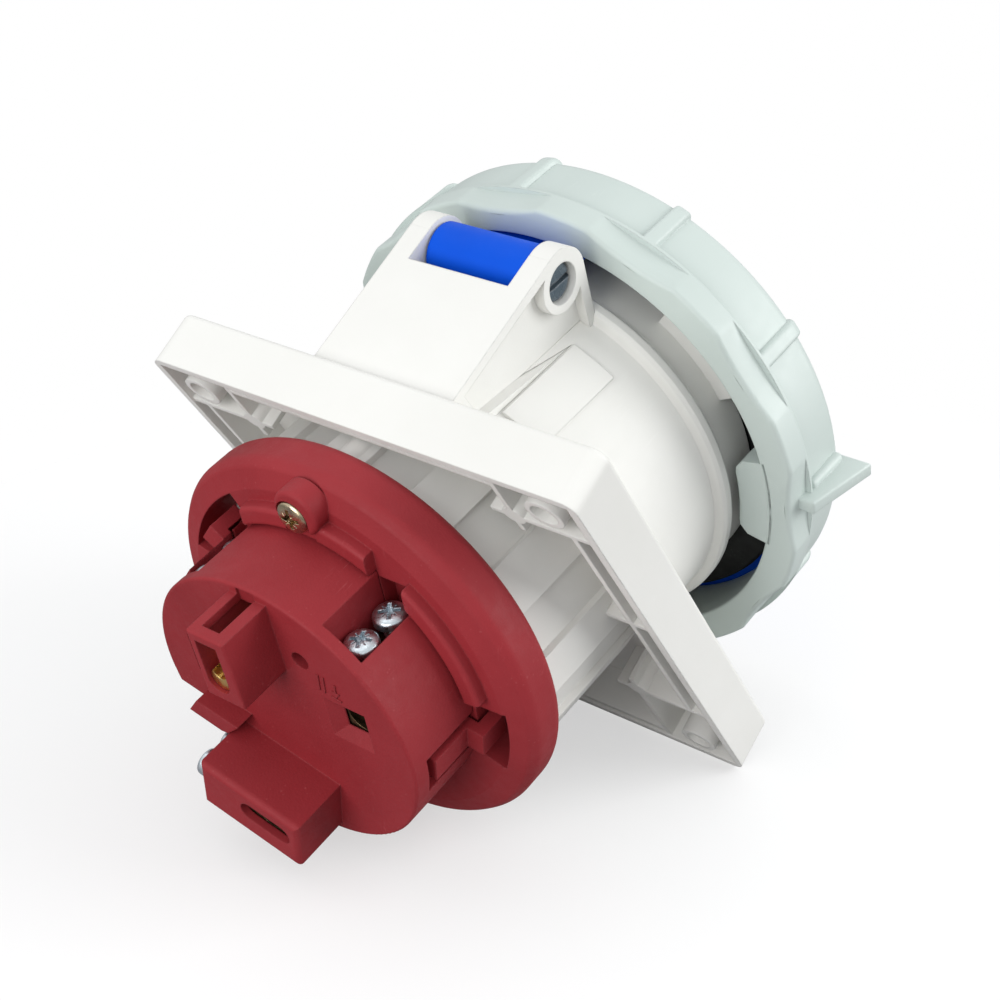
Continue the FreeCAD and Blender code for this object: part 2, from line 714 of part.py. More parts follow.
def turned_with_block(*pieces):
    """Places pieces drawn square to the earth terminal: turned, then moved to the earth pin."""
    for piece in pieces:
        shift = Placement(Vector(0, -number("earth_y"), 0), Rotation(Vector(0, 0, 1), EARTH_BLOCK_TURN))
        doc.recompute()
        for letter in "xyz":
            piece.setExpression("Placement.Base." + letter, None)
        piece.Placement = shift.multiply(piece.Placement)
    return pieces


def funnel(name, sign):
    """The bevelled lead-in of a wire entry on the drum's back face; sign is -1 or 1 across."""
    wedge = doc.addObject("Part::Wedge", name)
    wide, narrow = sorted((sign * 12.3, sign * 22.0)), sorted((sign * 16.3, sign * 21.7))
    wedge.Xmin, wedge.Xmax = wide
    wedge.X2min, wedge.X2max = narrow
    wedge.Zmin, wedge.Zmax = -9.8, -0.2
    wedge.Z2min, wedge.Z2max = -8.9, -3.5
    wedge.Ymin = -number("drum_back") - 0.01
    wedge.Ymax = -number("drum_back") + 2.6
    wedge.Placement = Placement(Vector(), Rotation(Vector(1, 0, 0), 90))
    return wedge


def at_angle(piece, angle):
    """Turns a block about the collar axis once its limits are set."""
    doc.recompute()
    for letter in "xyz":
        piece.setExpression("Placement.Base." + letter, None)
    return turn(piece, angle)


def latch_room(side, angle):
    """The notch in the drum's side that a latch stands in."""
    return at_angle(box(f"latch_room_{side}", ("27.4", "40"), ("-4.6", "4.6"), ("-44.4", "-30")), angle)


def latch(side, angle):
    """A springy arm that hooks through the slot in the carrier's disc."""
    arm = box(f"latch_arm_{side}", ("27.2", "30.8"), ("-2.7", "2.7"), ("-42.6", "-32.6"))
    foot = box(f"latch_foot_{side}", ("27.2", "29.4"), ("-4.7", "4.7"), ("-34", "-31"))
    step = box(f"latch_step_{side}", ("28.4", "34.4"), ("-2.7", "2.7"), ("-33.4", "-31.2"))
    hook = box(f"latch_hook_{side}", ("31.7", "34.4"), ("-2.7", "2.7"), ("-31.3", "-26.5"))
    return fuse(f"latch_{side}", *(at_angle(piece, angle) for piece in (arm, foot, step, hook)))


def wedge_fin():
    """The three-cornered fin beside the earth tower."""
    sketch = doc.addObject("Sketcher::SketchObject", "fin_outline")
    fill_outline(sketch, [("25.8", "-10.2"), ("20.6", "-3.8"), ("10.4", "-6.2"), ("14", "-9.4")])
    fin = doc.addObject("Part::Extrusion", "fin")
    fin.Base = sketch
    fin.DirMode = "Custom"
    fin.Dir = Vector(0, 0, -1)
    fin.Solid = True
    fin.setExpression("LengthFwd", bound("drum_back + 4.2"))
    core = rod("fin_core", "60", ("-44", "1"))
    return cut("fin_trimmed", fin, core)


def terminal_block():
    """The rear insulator: a drum with two towers, wire entries and screw windows."""
    drum = rod("drum", "drum_rad", ("-drum_back", "-disc_back - 0.2"))

    def drum_back_edge(edge):
        return circle_at(number("drum_rad"), -number("drum_back"))(edge)

    drum = round_edges("drum_soft", drum, [(drum_back_edge, 0.6)])
    pilot_tower = box("pilot_tower", ("-4.6", "4.3"), ("13", "28.6"), ("-59.2", "-40"))
    earth_tower = box("earth_tower", ("-8.4", "15.6"), ("-8", "4.8"), ("-60.6", "-40"))
    fin = wedge_fin()
    turned_with_block(earth_tower)
    doc.recompute()

    def tower_edge(edge):
        return edge.Vertexes[0].Z < -55 and edge.Vertexes[-1].Z < -55

    soft_pilot = round_edges("pilot_tower_soft", pilot_tower, [(tower_edge, 0.5)])
    soft_earth = round_edges("earth_tower_soft", earth_tower, [(tower_edge, 1.3)])
    solid = fuse("drum_solid", drum, soft_pilot, soft_earth, fin)
    notched = cut("drum_notched", solid, latch_room("right", 190.0), latch_room("left", 39.0))
    full = fuse("drum_full", notched, latch("right", 190.0), latch("left", 39.0))

    deep = ("-70", "-20")
    tools = [
        box("line_window", ("-22.3", "-15"), ("13", "36"), ("-45.6", "-25")),
        box("neutral_window", ("15", "22.3"), ("13", "36"), ("-45.6", "-25")),
        box("line_chamber", ("-22.8", "-12.6"), ("0.2", "14.8"), ("-46.2", "-25")),
        box("neutral_chamber", ("12.6", "22.8"), ("0.2", "14.8"), ("-46.2", "-25")),
        funnel("line_funnel", -1),
        funnel("neutral_funnel", 1),
        box("pilot_chamber", ("-2.4", "2.7"), ("15.6", "26.8"), ("-56", "-25")),
        box("pilot_mouth", ("-2.4", "2.7"), ("17.6", "26.8"), deep),
        rod("pilot_mouth_round", "2.55", deep, ("0.15", "17.6")),
        box("pilot_slot", ("-1.9", "2.3"), ("24", "30"), ("-57", "-47.6")),
        box("strap_channel", ("-2.7", "2.9"), ("-3.4", "26.8"), ("-32.6", "-25")),
        rod("probe_hole", "1.9", ("-60", "-40"), ("-9.2", "17.4")),
        rod("earth_hole_rear", "earth_rad + fit", ("-47.1", "-20"), ("0", "-earth_y")),
    ]
    # The earth terminal lies square to its tower, whose screws go in from the side.
    square = [
        box("earth_chamber", ("-6.8", "13.4"), ("-4.4", "3.2"), ("-59", "-46.9")),
        box("earth_mouth", ("-4", "3.2"), ("-2.9", "1.9"), deep),
        rod("earth_mouth_right", "2.4", deep, ("-4", "-0.5")),
        rod("earth_mouth_left", "2.4", deep, ("3.2", "-0.5")),
        rod("earth_access_1", "2", ("10", "30"), ("-0.5", "-50.6"), "x"),
        rod("earth_access_2", "2", ("10", "30"), ("-0.5", "-56.8"), "x"),
        box("earth_notch", ("15.6", "50"), ("-30", "4.4"), ("-70", "-37")),
    ]
    turned_with_block(*square)
    rear_only = box("rear_only", ("-90", "90"), ("-90", "90"), ("-90", "-49.5"))
    mouths = fuse("earth_mouths", *square[1:4])
    mouth_tool = doc.addObject("Part::Common", "earth_mouth_tool")
    mouth_tool.Base = mouths
    mouth_tool.Tool = rear_only
    tools += [square[0], *square[4:], mouth_tool]
    seat(cut("block_cut", full, *tools), "terminal_block")


def carrier_o_ring():
    """The rubber ring between the carrier's plug and the sleeve."""
    ring = doc.addObject("Part::Torus", "o_ring")
    ring.setExpression("Radius1", bound("sleeve_bore - 1.36"))
    ring.Radius2 = 1.18
    centre = Placement(Vector(0, 0, -13), Rotation())
    ring.Placement = centre
    seat(group("o_ring_seat", ring), "carrier_o_ring")


# --- metal: pins, terminals and screws --------------------------------------------------------------


def crossed(name, piece, depth, arm, place, span, along):
    """Cuts a cross recess into a screw head; span is where the head lies along its own axis."""
    low, high = span
    near, far = (high - depth, high + 1) if depth > 0 else (low - 1, low - depth)
    bars = []
    for index in range(2):
        narrow, wide = (0.45, arm) if index else (arm, 0.45)
        limits = {letter: None for letter in "xyz"}
        across = [letter for letter in "xyz" if letter != along]
        for letter, middle, half in zip(across, place, (narrow, wide)):
            limits[letter] = (f"({middle}) - {half}", f"({middle}) + {half}")
        limits[along] = (str(near), str(far))
        bars.append(box(f"{name}_cross_{index}", limits["x"], limits["y"], limits["z"]))
    return cut(name, piece, *bars)


def screw(name, place, along, tip, neck, top, shaft_rad, head_rad, facing):
    """A pan-head screw with a cross recess; facing says which way its head looks along its axis."""
    shaft = rod(name + "_shaft", str(shaft_rad), sorted_text(tip, neck), place, along)
    head = rod(name + "_head", str(head_rad), sorted_text(neck, top), place, along)
    letter_index = "xyz".index(along)

    def outer_rim(edge):
        return abs(edge.CenterOfMass[letter_index] - top) < 0.01 and edge.Closed

    domed = round_edges(name + "_dome", head, [(outer_rim, 0.7)])
    blank = fuse(name + "_blank", shaft, domed)
    span = (min(neck, top), max(neck, top))
    return crossed(name, blank, 1.3 * facing, head_rad * 0.62, place, span, along)


def sorted_text(first, second):
    """Two plain numbers as low and high expressions."""
    return str(min(first, second)), str(max(first, second))


def power_pin(label, radius, place, back):
    """A round contact pin with a domed tip."""
    bar = rod(label + "_bar", radius, (back, "pin_tip"), place)
    tip = number("pin_tip")

    def tip_rim(edge):
        return abs(edge.CenterOfMass.z - tip) < 0.01 and edge.Closed

    seat(round_edges(label + "_domed", bar, [(tip_rim, number(radius) * 0.45)]), label)


def pole(name, sign):
    """The pin, terminal and clamp screws of one power pole; sign is its side across."""
    side = "-" if sign < 0 else ""
    power_pin(f"{name}_pin", "pole_rad", (f"{side}pole_x", "pole_y"), "-28.1")
    block_x = sorted((sign * 13.0, sign * 22.6))
    block = box(f"{name}_block", tuple(map(str, block_x)), ("0.4", "14.6"), ("-45.9", "-28.3"))
    wire_hole = rod(f"{name}_wire_hole", "3.5", ("-60", "-32"), (str(sign * 18.9), "6.2"))
    steps = (-33.5, -41.4)
    threads = []
    screws = []
    for index, forward in enumerate(steps):
        place = (f"{side}clamp_x", str(forward))
        threads.append(rod(f"{name}_thread_{index}", "2", ("6", "20"), place, "y"))
        screws.append(
            screw(f"{name}_screw_{index}", place, "y", 8.0, 19.0, 21.4, 1.9, 3.3, 1)
        )
    seat(cut(f"{name}_terminal_cut", block, wire_hole, *threads), f"{name}_terminal")
    seat(group(f"{name}_screws", *screws), f"{name}_clamp_screws")


def earth():
    """The thicker earth pin, its terminal in the side tower and its two side screws."""
    power_pin("earth_pin", "earth_rad", ("0", "-earth_y"), "-46.8")
    block = box("earth_terminal_block", ("-6.6", "13.2"), ("-4.2", "3"), ("-58.8", "-47"))
    wire_hole = rod("earth_wire_hole", "2.7", ("-60", "-49"), ("-0.4", "-0.5"))
    screws, threads = [], []
    for index, forward in enumerate((-50.6, -56.8)):
        place = ("-0.5", str(forward))
        threads.append(rod(f"earth_thread_{index}", "1.75", ("-0.4", "20"), place, "x"))
        screws.append(
            screw(f"earth_screw_{index}", place, "x", 3.0, 15.8, 18.2, 1.65, 2.8, 1)
        )
    terminal = cut("earth_terminal_cut", block, wire_hole, *threads)
    pair = group("earth_screws", *screws)
    shift = Placement(Vector(0, -number("earth_y"), 0), Rotation(Vector(0, 0, 1), EARTH_BLOCK_TURN))
    for piece, label in ((terminal, "earth_terminal"), (pair, "earth_clamp_screws")):
        piece.Placement = shift
        seat(group(label + "_seat", piece), label)


def pilot():
    """The short pilot pin, the strap that carries it to its tower, and its clamp screw."""
    bar = rod("pilot_bar", "pilot_rad", ("-30.7", "pilot_tip"))

    def tip_rim(edge):
        return abs(edge.CenterOfMass.z - number("pilot_tip")) < 0.01 and edge.Closed

    seat(round_edges("pilot_domed", bar, [(tip_rim, 1.4)]), "pilot_pin")
    strap = box("pilot_strap", ("-2.2", "2.5"), ("-3", "26"), ("-32.3", "-31"))
    block = box("pilot_block", ("-2.2", "2.5"), ("15.8", "23.4"), ("-55.6", "-32"))
    lip = rod("pilot_lip", "2.35", ("-58.4", "-55"), ("0.15", "17.6"))
    wire_hole = rod("pilot_wire_hole", "1.6", ("-60", "-45"), ("0.15", "19.4"))
    thread = rod("pilot_thread", "1.15", ("19.4", "30"), ("0.2", "-52"), "y")
    solid = fuse("pilot_terminal_solid", strap, block, lip)
    terminal = cut("pilot_terminal_cut", solid, wire_hole, thread)
    seat(terminal, "pilot_terminal")
    clamp = screw("pilot_screw", ("0.2", "-52"), "y", 20.2, 23.5, 24.9, 1.05, 1.8, 1)
    seat(clamp, "pilot_clamp_screw")


def carrier_screw():
    """The screw that holds the carrier's disc against the sleeve."""
    place = ("screw_x", "screw_y")
    neck = -number("disc_back") - 2.1
    piece = screw("carrier_screw_body", place, "z", -12.0, neck, neck - 2.2, 1.85, 3.4, -1)
    seat(piece, "carrier_screw")


housing()
lid()
lid_seal()
locking_ring()
retaining_ring()
hinge_pin()
torsion_spring()
contact_carrier()
terminal_block()
carrier_o_ring()
pole("line", -1)
pole("neutral", 1)
earth()
pilot()
carrier_screw()
doc.recompute()

# --- checks and export -----------------------------------------------------------------------------

failed = [o.Name for o in doc.Objects if "Invalid" in o.State or "Error" in o.State]
if failed:
    raise RuntimeError(f"these objects failed: {failed}")
os.makedirs("parts", exist_ok=True)
for node in NODES:
    shape = node.Shape
    if shape.isNull() or not shape.isValid() or not shape.Solids:
        raise RuntimeError(f"{node.Label} has no valid solid")
for node in NODES:
    node.Shape.exportStep(f"parts/{node.Label}.step")
    size = node.Shape.BoundBox
    print(
        f"{node.Label:22s} {len(node.Shape.Solids)} solid(s) {node.Shape.Volume / 1000:8.2f} cm3 "
        f"{size.XLength:6.1f} x {size.YLength:6.1f} x {size.ZLength:6.1f} mm"
    )
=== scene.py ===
# %% [markdown]
# # An angled panel inlet, from frame to finish
# This lesson takes the exact pieces of a panel-mounting power inlet and gives them their looks.
# The shapes that must fit together come from CAD and are never moved. Blender adds what CAD leaves
# out: the gripping ring with its scoops and ribs, screws with real cross recesses, small moulded
# marks, and plastics, rubber and metals that look handled.

# %% Load the frame
import json
from functools import partial
from math import cos, degrees, pi, radians, sin

import bmesh
import bpy
from mathutils import Matrix, Vector


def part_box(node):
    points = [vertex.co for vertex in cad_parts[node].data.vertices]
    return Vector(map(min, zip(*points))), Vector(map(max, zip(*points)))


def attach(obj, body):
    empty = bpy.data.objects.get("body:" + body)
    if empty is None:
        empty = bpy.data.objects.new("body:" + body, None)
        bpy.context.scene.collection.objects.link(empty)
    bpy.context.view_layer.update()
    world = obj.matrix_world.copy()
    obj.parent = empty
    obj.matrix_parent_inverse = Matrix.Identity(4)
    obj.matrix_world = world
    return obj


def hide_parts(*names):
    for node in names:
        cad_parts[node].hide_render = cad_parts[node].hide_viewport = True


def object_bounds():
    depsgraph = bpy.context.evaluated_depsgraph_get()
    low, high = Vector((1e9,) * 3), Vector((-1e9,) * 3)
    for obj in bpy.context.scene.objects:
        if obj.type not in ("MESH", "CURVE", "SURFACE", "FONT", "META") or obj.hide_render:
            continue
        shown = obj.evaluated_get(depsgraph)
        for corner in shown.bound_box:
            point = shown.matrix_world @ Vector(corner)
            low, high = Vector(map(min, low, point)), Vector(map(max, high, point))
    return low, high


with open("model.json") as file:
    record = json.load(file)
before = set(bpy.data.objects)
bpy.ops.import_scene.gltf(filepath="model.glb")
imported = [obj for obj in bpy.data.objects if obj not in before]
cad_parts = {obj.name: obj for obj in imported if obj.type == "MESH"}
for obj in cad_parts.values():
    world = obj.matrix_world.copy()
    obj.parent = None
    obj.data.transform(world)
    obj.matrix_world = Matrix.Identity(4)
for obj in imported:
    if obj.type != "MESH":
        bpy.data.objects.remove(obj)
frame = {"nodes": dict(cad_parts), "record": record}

cad_low, cad_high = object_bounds()
scene = bpy.context.scene
print("nodes:", ", ".join(sorted(frame["nodes"])))
print("CAD box, mm:", [round(1000 * (b - a), 1) for a, b in zip(cad_low, cad_high)])

# %% [markdown]
# ## The inlet's own frame
# The collar leans 21 degrees out of the panel, so round things are easier to draw in a frame that
# leans with it: X across, Y up across the collar, Z forward along its axis, all in millimetres.
# One matrix then carries a finished mesh to its place, in metres.

# %% A matrix from the collar's frame to the row frame
MM = 0.001
TILT = radians(21.0)
AXIS_RISE = 8.7 * MM
HINGE_PIN = Vector((0, 50.1, 29.3))
SEAT = Matrix.Translation((0, 0, AXIS_RISE)) @ Matrix.Rotation(pi / 2 + TILT, 4, "X")
SEAT_MM = SEAT @ Matrix.Scale(MM, 4)
print("hinge pin sits at", [round(v * 1000, 1) for v in SEAT_MM @ HINGE_PIN])

# %% [markdown]
# ## Helpers for node trees
# The floor, the finishes and the Geometry Nodes trees are all wired from code. Nodes made one by
# one take four lines each, so a few helpers do the repeating: each makes one node, fills its inputs
# with numbers or with other nodes' outputs, and hands back the output that comes next.

# %% One node, one sum, one mix
def feed(tree, socket, value):
    """Puts a value, or another node's output, into an input."""
    if isinstance(value, bpy.types.NodeSocket):
        tree.links.new(value, socket)
    else:
        socket.default_value = value


def add(tree, kind, settings=None, **inputs):
    """A node with its settings and inputs, named with _ for a space, or i0, i1 by their number."""
    node = tree.nodes.new(kind)
    for key, value in (settings or {}).items():
        setattr(node, key, value)
    for key, value in inputs.items():
        label = key.replace("_", " ")
        found = [s for s in node.inputs if s.name == label and s.enabled]
        feed(tree, found[0] if found else node.inputs[int(key[1:])], value)
    return node


def math(tree, operation, first, second=0.0):
    """One arithmetic step; each value is a number or an output."""
    node = tree.nodes.new("ShaderNodeMath")
    node.operation = operation
    for socket, value in zip(node.inputs, (first, second)):
        feed(tree, socket, value)
    return node.outputs[0]


def ramp(tree, value, low, high, out_low=0.0, out_high=1.0):
    """A value stretched from one span to another and held at its ends."""
    node = tree.nodes.new("ShaderNodeMapRange")
    for key, number in zip(
        ("Value", "From Min", "From Max", "To Min", "To Max"), (value, low, high, out_low, out_high)
    ):
        feed(tree, node.inputs[key], number)
    return node.outputs["Result"]


def blend_colour(tree, factor, first, second):
    """Two colours mixed; each is a colour or an output."""
    node = tree.nodes.new("ShaderNodeMix")
    node.data_type = "RGBA"
    for socket, value in zip((node.inputs[0], node.inputs[6], node.inputs[7]), (factor, first, second)):
        feed(tree, socket, value)
    return node.outputs[2]


def blend_shader(tree, factor, first, second):
    """Two shaders mixed by a number from 0 to 1."""
    node = tree.nodes.new("ShaderNodeMixShader")
    for socket, value in zip(node.inputs, (factor, first, second)):
        tree.links.new(value, socket)
    return node.outputs["Shader"]


# %% [markdown]
# ## The floor
# The part lies on its flange's lower edge and on the rim of its contact carrier, so in the row frame
# the table leans. The floor is seen from above only: from below it is clear, so views of the
# back and the underside stay open. It bounces less light than it shows, which keeps the shadows soft
# and pale without flooding the underside.

# %% A one-sided pale floor
FLOOR_COLOUR, FLOOR_BOUNCE = (0.93, 0.93, 0.93, 1), (0.36, 0.36, 0.37, 1)
FLOOR_GLOW = 0.55
FADE_FROM, FADE_TO = 0.11, 0.24
FLOOR_SIZE = 1.6


def lit_from_above(name):
    """A matt floor that is clear from behind and melts away towards its edges."""
    material = bpy.data.materials.new(name)
    material.use_nodes = True
    tree = material.node_tree
    surface = tree.nodes["Principled BSDF"]
    surface.inputs["Roughness"].default_value = 0.85
    surface.inputs["Specular IOR Level"].default_value = 0.2
    eye = add(tree, "ShaderNodeLightPath").outputs["Is Camera Ray"]
    tree.links.new(blend_colour(tree, eye, FLOOR_BOUNCE, FLOOR_COLOUR), surface.inputs["Base Color"])
    glow = add(tree, "ShaderNodeEmission").outputs["Emission"]
    lifted = blend_shader(tree, math(tree, "MULTIPLY", eye, FLOOR_GLOW), surface.outputs["BSDF"], glow)
    behind = add(tree, "ShaderNodeNewGeometry").outputs["Backfacing"]
    place = add(tree, "ShaderNodeTexCoord").outputs["Object"]
    reach = add(tree, "ShaderNodeVectorMath", {"operation": "LENGTH"}, i0=place).outputs["Value"]
    fade = add(
        tree, "ShaderNodeMapRange", {"interpolation_type": "SMOOTHSTEP"},
        Value=reach, From_Min=FADE_FROM, From_Max=FADE_TO,
    ).outputs["Result"]
    clear = add(tree, "ShaderNodeBsdfTransparent").outputs["BSDF"]
    shown = blend_shader(tree, math(tree, "MAXIMUM", behind, fade), lifted, clear)
    tree.links.new(shown, tree.nodes["Material Output"].inputs["Surface"])
    return material


def facing(place, direction, axis):
    """A matrix at a place whose axis looks along a direction."""
    return Matrix.Translation(place) @ direction.to_track_quat(axis, "Y").to_matrix().to_4x4()


table_normal = Vector((0, -0.634, 0.773)).normalized()
table_point = Vector((0, 0, -56.05 * MM))
bpy.ops.mesh.primitive_plane_add(size=FLOOR_SIZE)
floor = bpy.context.object
floor.name = "floor"
floor.matrix_world = facing(table_point, table_normal, "Z")
floor.data.materials.append(lit_from_above("pale floor"))
print("floor leans", round(degrees(table_normal.angle(Vector((0, 0, 1)))), 1), "degrees")

# %% [markdown]
# ## Light
# White plastic shows its shape only by slow changes of tone, so three large soft lights stand round
# the part: a weak one above, a broad one beside the lens and one on the right. They are placed in
# the camera's own directions. The room adds the rest: it is brighter above the table than below.

# %% Soft studio light
CAMERA_PLACE = Vector((-196.81, 89.42, 289.15)) * MM
CAMERA_RIGHT = Vector((-0.7911, -0.4959, -0.3580)).normalized()
CAMERA_AHEAD = Vector((0.5404, -0.2924, -0.7890)).normalized()
CAMERA_UP = CAMERA_RIGHT.cross(CAMERA_AHEAD).normalized()
SKY_SPAN = (-0.25, 0.35)
SKY_STRENGTH = (0.22, 0.80)
middle = (cad_low + cad_high) / 2


def studio(right, up, back):
    """A place round the object, in the camera's own directions."""
    return middle + CAMERA_RIGHT * right + CAMERA_UP * up - CAMERA_AHEAD * back


def softbox(name, place, size, power):
    """A square area light that faces the middle of the object."""
    lamp = bpy.data.lights.new(name, "AREA")
    lamp.shape = "SQUARE"
    lamp.size = size
    lamp.energy = power
    stand = bpy.data.objects.new(name, lamp)
    stand.matrix_world = facing(place, middle - place, "-Z")
    scene.collection.objects.link(stand)


softbox("key", studio(-0.35, 0.75, 0.30), 0.55, 0.8)
softbox("fill", studio(-0.60, -0.15, 0.80), 0.7, 6.2)
softbox("right side", studio(0.85, 0.25, 0.2), 0.6, 5.4)

world = bpy.data.worlds.new("pale room")
scene.world = world
world.use_nodes = True
room = world.node_tree
walls = room.nodes["Background"]
walls.inputs["Color"].default_value = (0.97, 0.985, 1, 1)
seen = add(room, "ShaderNodeBackground", Color=(1, 1, 1, 1), Strength=1.0).outputs["Background"]
way = add(room, "ShaderNodeTexCoord").outputs["Generated"]
rising = add(room, "ShaderNodeVectorMath", {"operation": "DOT_PRODUCT"}, i0=way, i1=table_normal)
sky = ramp(room, rising.outputs["Value"], *SKY_SPAN, *SKY_STRENGTH)
room.links.new(sky, walls.inputs["Strength"])
ray = add(room, "ShaderNodeLightPath").outputs["Is Camera Ray"]
shown = blend_shader(room, ray, walls.outputs["Background"], seen)
room.links.new(shown, room.nodes["World Output"].inputs["Surface"])
scene.view_settings.view_transform = "Standard"

# %% [markdown]
# ## The camera
# It looks down from behind the panel, so that the contact insert comes first and the ring last.
# A long lens keeps the flange's edges nearly parallel.

# %% The camera
lens = bpy.data.cameras.new("camera")
lens.lens = 64.3
lens.sensor_width = 36.0
lens.clip_start = 0.01
camera = bpy.data.objects.new("camera", lens)
scene.collection.objects.link(camera)
camera_turn = Matrix((CAMERA_RIGHT, CAMERA_UP, -CAMERA_AHEAD)).transposed().to_4x4()
camera.matrix_world = Matrix.Translation(CAMERA_PLACE) @ camera_turn
scene.camera = camera
print("camera is", round((CAMERA_PLACE - middle).length, 3), "m from the middle")

# %% [markdown]
# ## Softened edges
# Real mouldings and castings never have knife edges. A Bevel node bends the normals near an edge, so
# each corner catches a line of light, and the bend also tells where hands rub. Every finish needs
# this, so it is a node group with its radius as an input.

# %% Group: softened edges and where they wear
def new_group(name, inputs, outputs):
    """An empty shader group with named sockets; inputs are (name, default) numbers."""
    group = bpy.data.node_groups.new(name, "ShaderNodeTree")
    for label, default in inputs:
        socket = group.interface.new_socket(label, in_out="INPUT", socket_type="NodeSocketFloat")
        socket.default_value = default
    for label, kind in outputs:
        group.interface.new_socket(label, in_out="OUTPUT", socket_type=kind)
    return group, group.nodes.new("NodeGroupInput"), group.nodes.new("NodeGroupOutput")


soft_edges, edge_in, edge_out = new_group(
    "Soft edges", [("Radius", 0.0004)], [("Normal", "NodeSocketVector"), ("Edge", "NodeSocketFloat")]
)
bent = add(soft_edges, "ShaderNodeBevel", {"samples": 5}, Radius=edge_in.outputs["Radius"])
flat = add(soft_edges, "ShaderNodeNewGeometry")
agree = add(
    soft_edges, "ShaderNodeVectorMath", {"operation": "DOT_PRODUCT"},
    i0=bent.outputs["Normal"], i1=flat.outputs["Normal"],
)
soft_edges.links.new(bent.outputs["Normal"], edge_out.inputs["Normal"])
soft_edges.links.new(ramp(soft_edges, agree.outputs["Value"], 0.995, 0.86), edge_out.inputs["Edge"])

# %% [markdown]
# ## The skin of a moulding
# A moulding tool leaves a fine sparked texture, and use adds slow drifts of tone, pale specks and
# scuffs in one direction. All are noise patterns in Object coordinates, so they keep their size
# on every piece. The group gives them out one by one, and each plastic takes its own share.

# %% Group: the skin of a moulding
def noise(tree, place, scale, detail=2.0, roughness=0.5):
    """A soft random pattern read at a place."""
    node = add(tree, "ShaderNodeTexNoise", Vector=place, Scale=scale, Detail=detail, Roughness=roughness)
    return node.outputs["Fac"]


moulded_skin, skin_in, skin_out = new_group(
    "Moulded skin",
    [("Grain scale", 2600.0), ("Speck size", 900.0), ("Speck amount", 0.3)],
    [(n, "NodeSocketFloat") for n in ("Height", "Tone", "Specks", "Scuffs", "Sheen")],
)
skin_math, skin_ramp, skin_noise = (partial(f, moulded_skin) for f in (math, ramp, noise))
place = add(moulded_skin, "ShaderNodeTexCoord").outputs["Object"]
grain = skin_math("MULTIPLY", skin_noise(place, skin_in.outputs["Grain scale"], 3.0), 0.55)
waves = skin_math("MULTIPLY", skin_noise(place, 60.0), 0.9)
cells = add(
    moulded_skin, "ShaderNodeTexVoronoi", Vector=place, Scale=skin_in.outputs["Speck size"], Randomness=1.0
)
patches = skin_ramp(skin_noise(place, 130.0, 4.0, 0.7), 0.48, 0.72)
speck_reach = skin_math("MULTIPLY", patches, skin_in.outputs["Speck amount"])
speck_edge = skin_math("SUBTRACT", cells.outputs["Distance"], speck_reach)
stretch = add(
    moulded_skin, "ShaderNodeMapping", Vector=place, Rotation=(0.5, 0.9, 0.4), Scale=(2600.0, 160.0, 420.0)
)
streaks = skin_noise(stretch.outputs["Vector"], 1.0, 3.0, 0.6)
rubbed = skin_ramp(skin_noise(place, 45.0, 3.0, 0.6), 0.52, 0.68)
for label, value in (
    ("Height", skin_math("ADD", grain, waves)),
    ("Tone", skin_ramp(skin_noise(place, 28.0, 4.0, 0.55), 0.3, 0.7)),
    ("Specks", skin_ramp(speck_edge, 0.05, -0.06)),
    ("Scuffs", skin_math("MULTIPLY", skin_ramp(streaks, 0.62, 0.74), rubbed)),
    ("Sheen", skin_ramp(skin_noise(place, 350.0, 4.0, 0.6), 0.3, 0.7)),
):
    moulded_skin.links.new(value, skin_out.inputs[label])

# %% [markdown]
# ## The skin of a metal
# Plating follows the fine brushing under it and clouds over where fingers have been. So the metals
# share one group with a brushed height, cloudy stains and an uneven polish.

# %% Group: brushed, plated metal
metal_skin, plate_in, plate_out = new_group(
    "Metal skin",
    [("Brush scale", 3000.0), ("Stain amount", 0.5)],
    [(n, "NodeSocketFloat") for n in ("Height", "Stains", "Polish")],
)
spot = add(metal_skin, "ShaderNodeTexCoord").outputs["Object"]
cloud = ramp(metal_skin, noise(metal_skin, spot, 420.0, 4.0, 0.65), 0.5, 0.72)
for label, value in (
    ("Height", noise(metal_skin, spot, plate_in.outputs["Brush scale"], 4.0)),
    ("Stains", math(metal_skin, "MULTIPLY", cloud, plate_in.outputs["Stain amount"])),
    ("Polish", ramp(metal_skin, noise(metal_skin, spot, 900.0, 3.0), 0.3, 0.7)),
):
    metal_skin.links.new(value, plate_out.inputs[label])
print("shader groups:", [g.name for g in (soft_edges, moulded_skin, metal_skin)])

# %% [markdown]
# ## Plastics and rubber
# Each material places the groups with its own values. The flange and collar are a warm white
# polyamide, the ring a pale grey one. The contact insert is a dull burgundy that shows rub marks on
# its rim, and the lid is a smoother blue.

# %% Plastics and rubber
EDGE_WEAR = 0.2
SCUFF_ROUGHNESS = 0.2


def new_material(name):
    """A material's tree and its Principled surface."""
    material = bpy.data.materials.new(name)
    material.use_nodes = True
    return material, material.node_tree, material.node_tree.nodes["Principled BSDF"]


def place_group(tree, group, **inputs):
    """The group as a node in a material's tree."""
    return add(tree, "ShaderNodeGroup", {"node_tree": group}, **inputs)


def relief(tree, surface, height, edges, strength, distance):
    """A bump on top of the softened edges, as the surface's normal."""
    node = add(
        tree, "ShaderNodeBump", Strength=strength, Distance=distance, Height=height,
        Normal=edges.outputs["Normal"],
    )
    tree.links.new(node.outputs["Normal"], surface.inputs["Normal"])


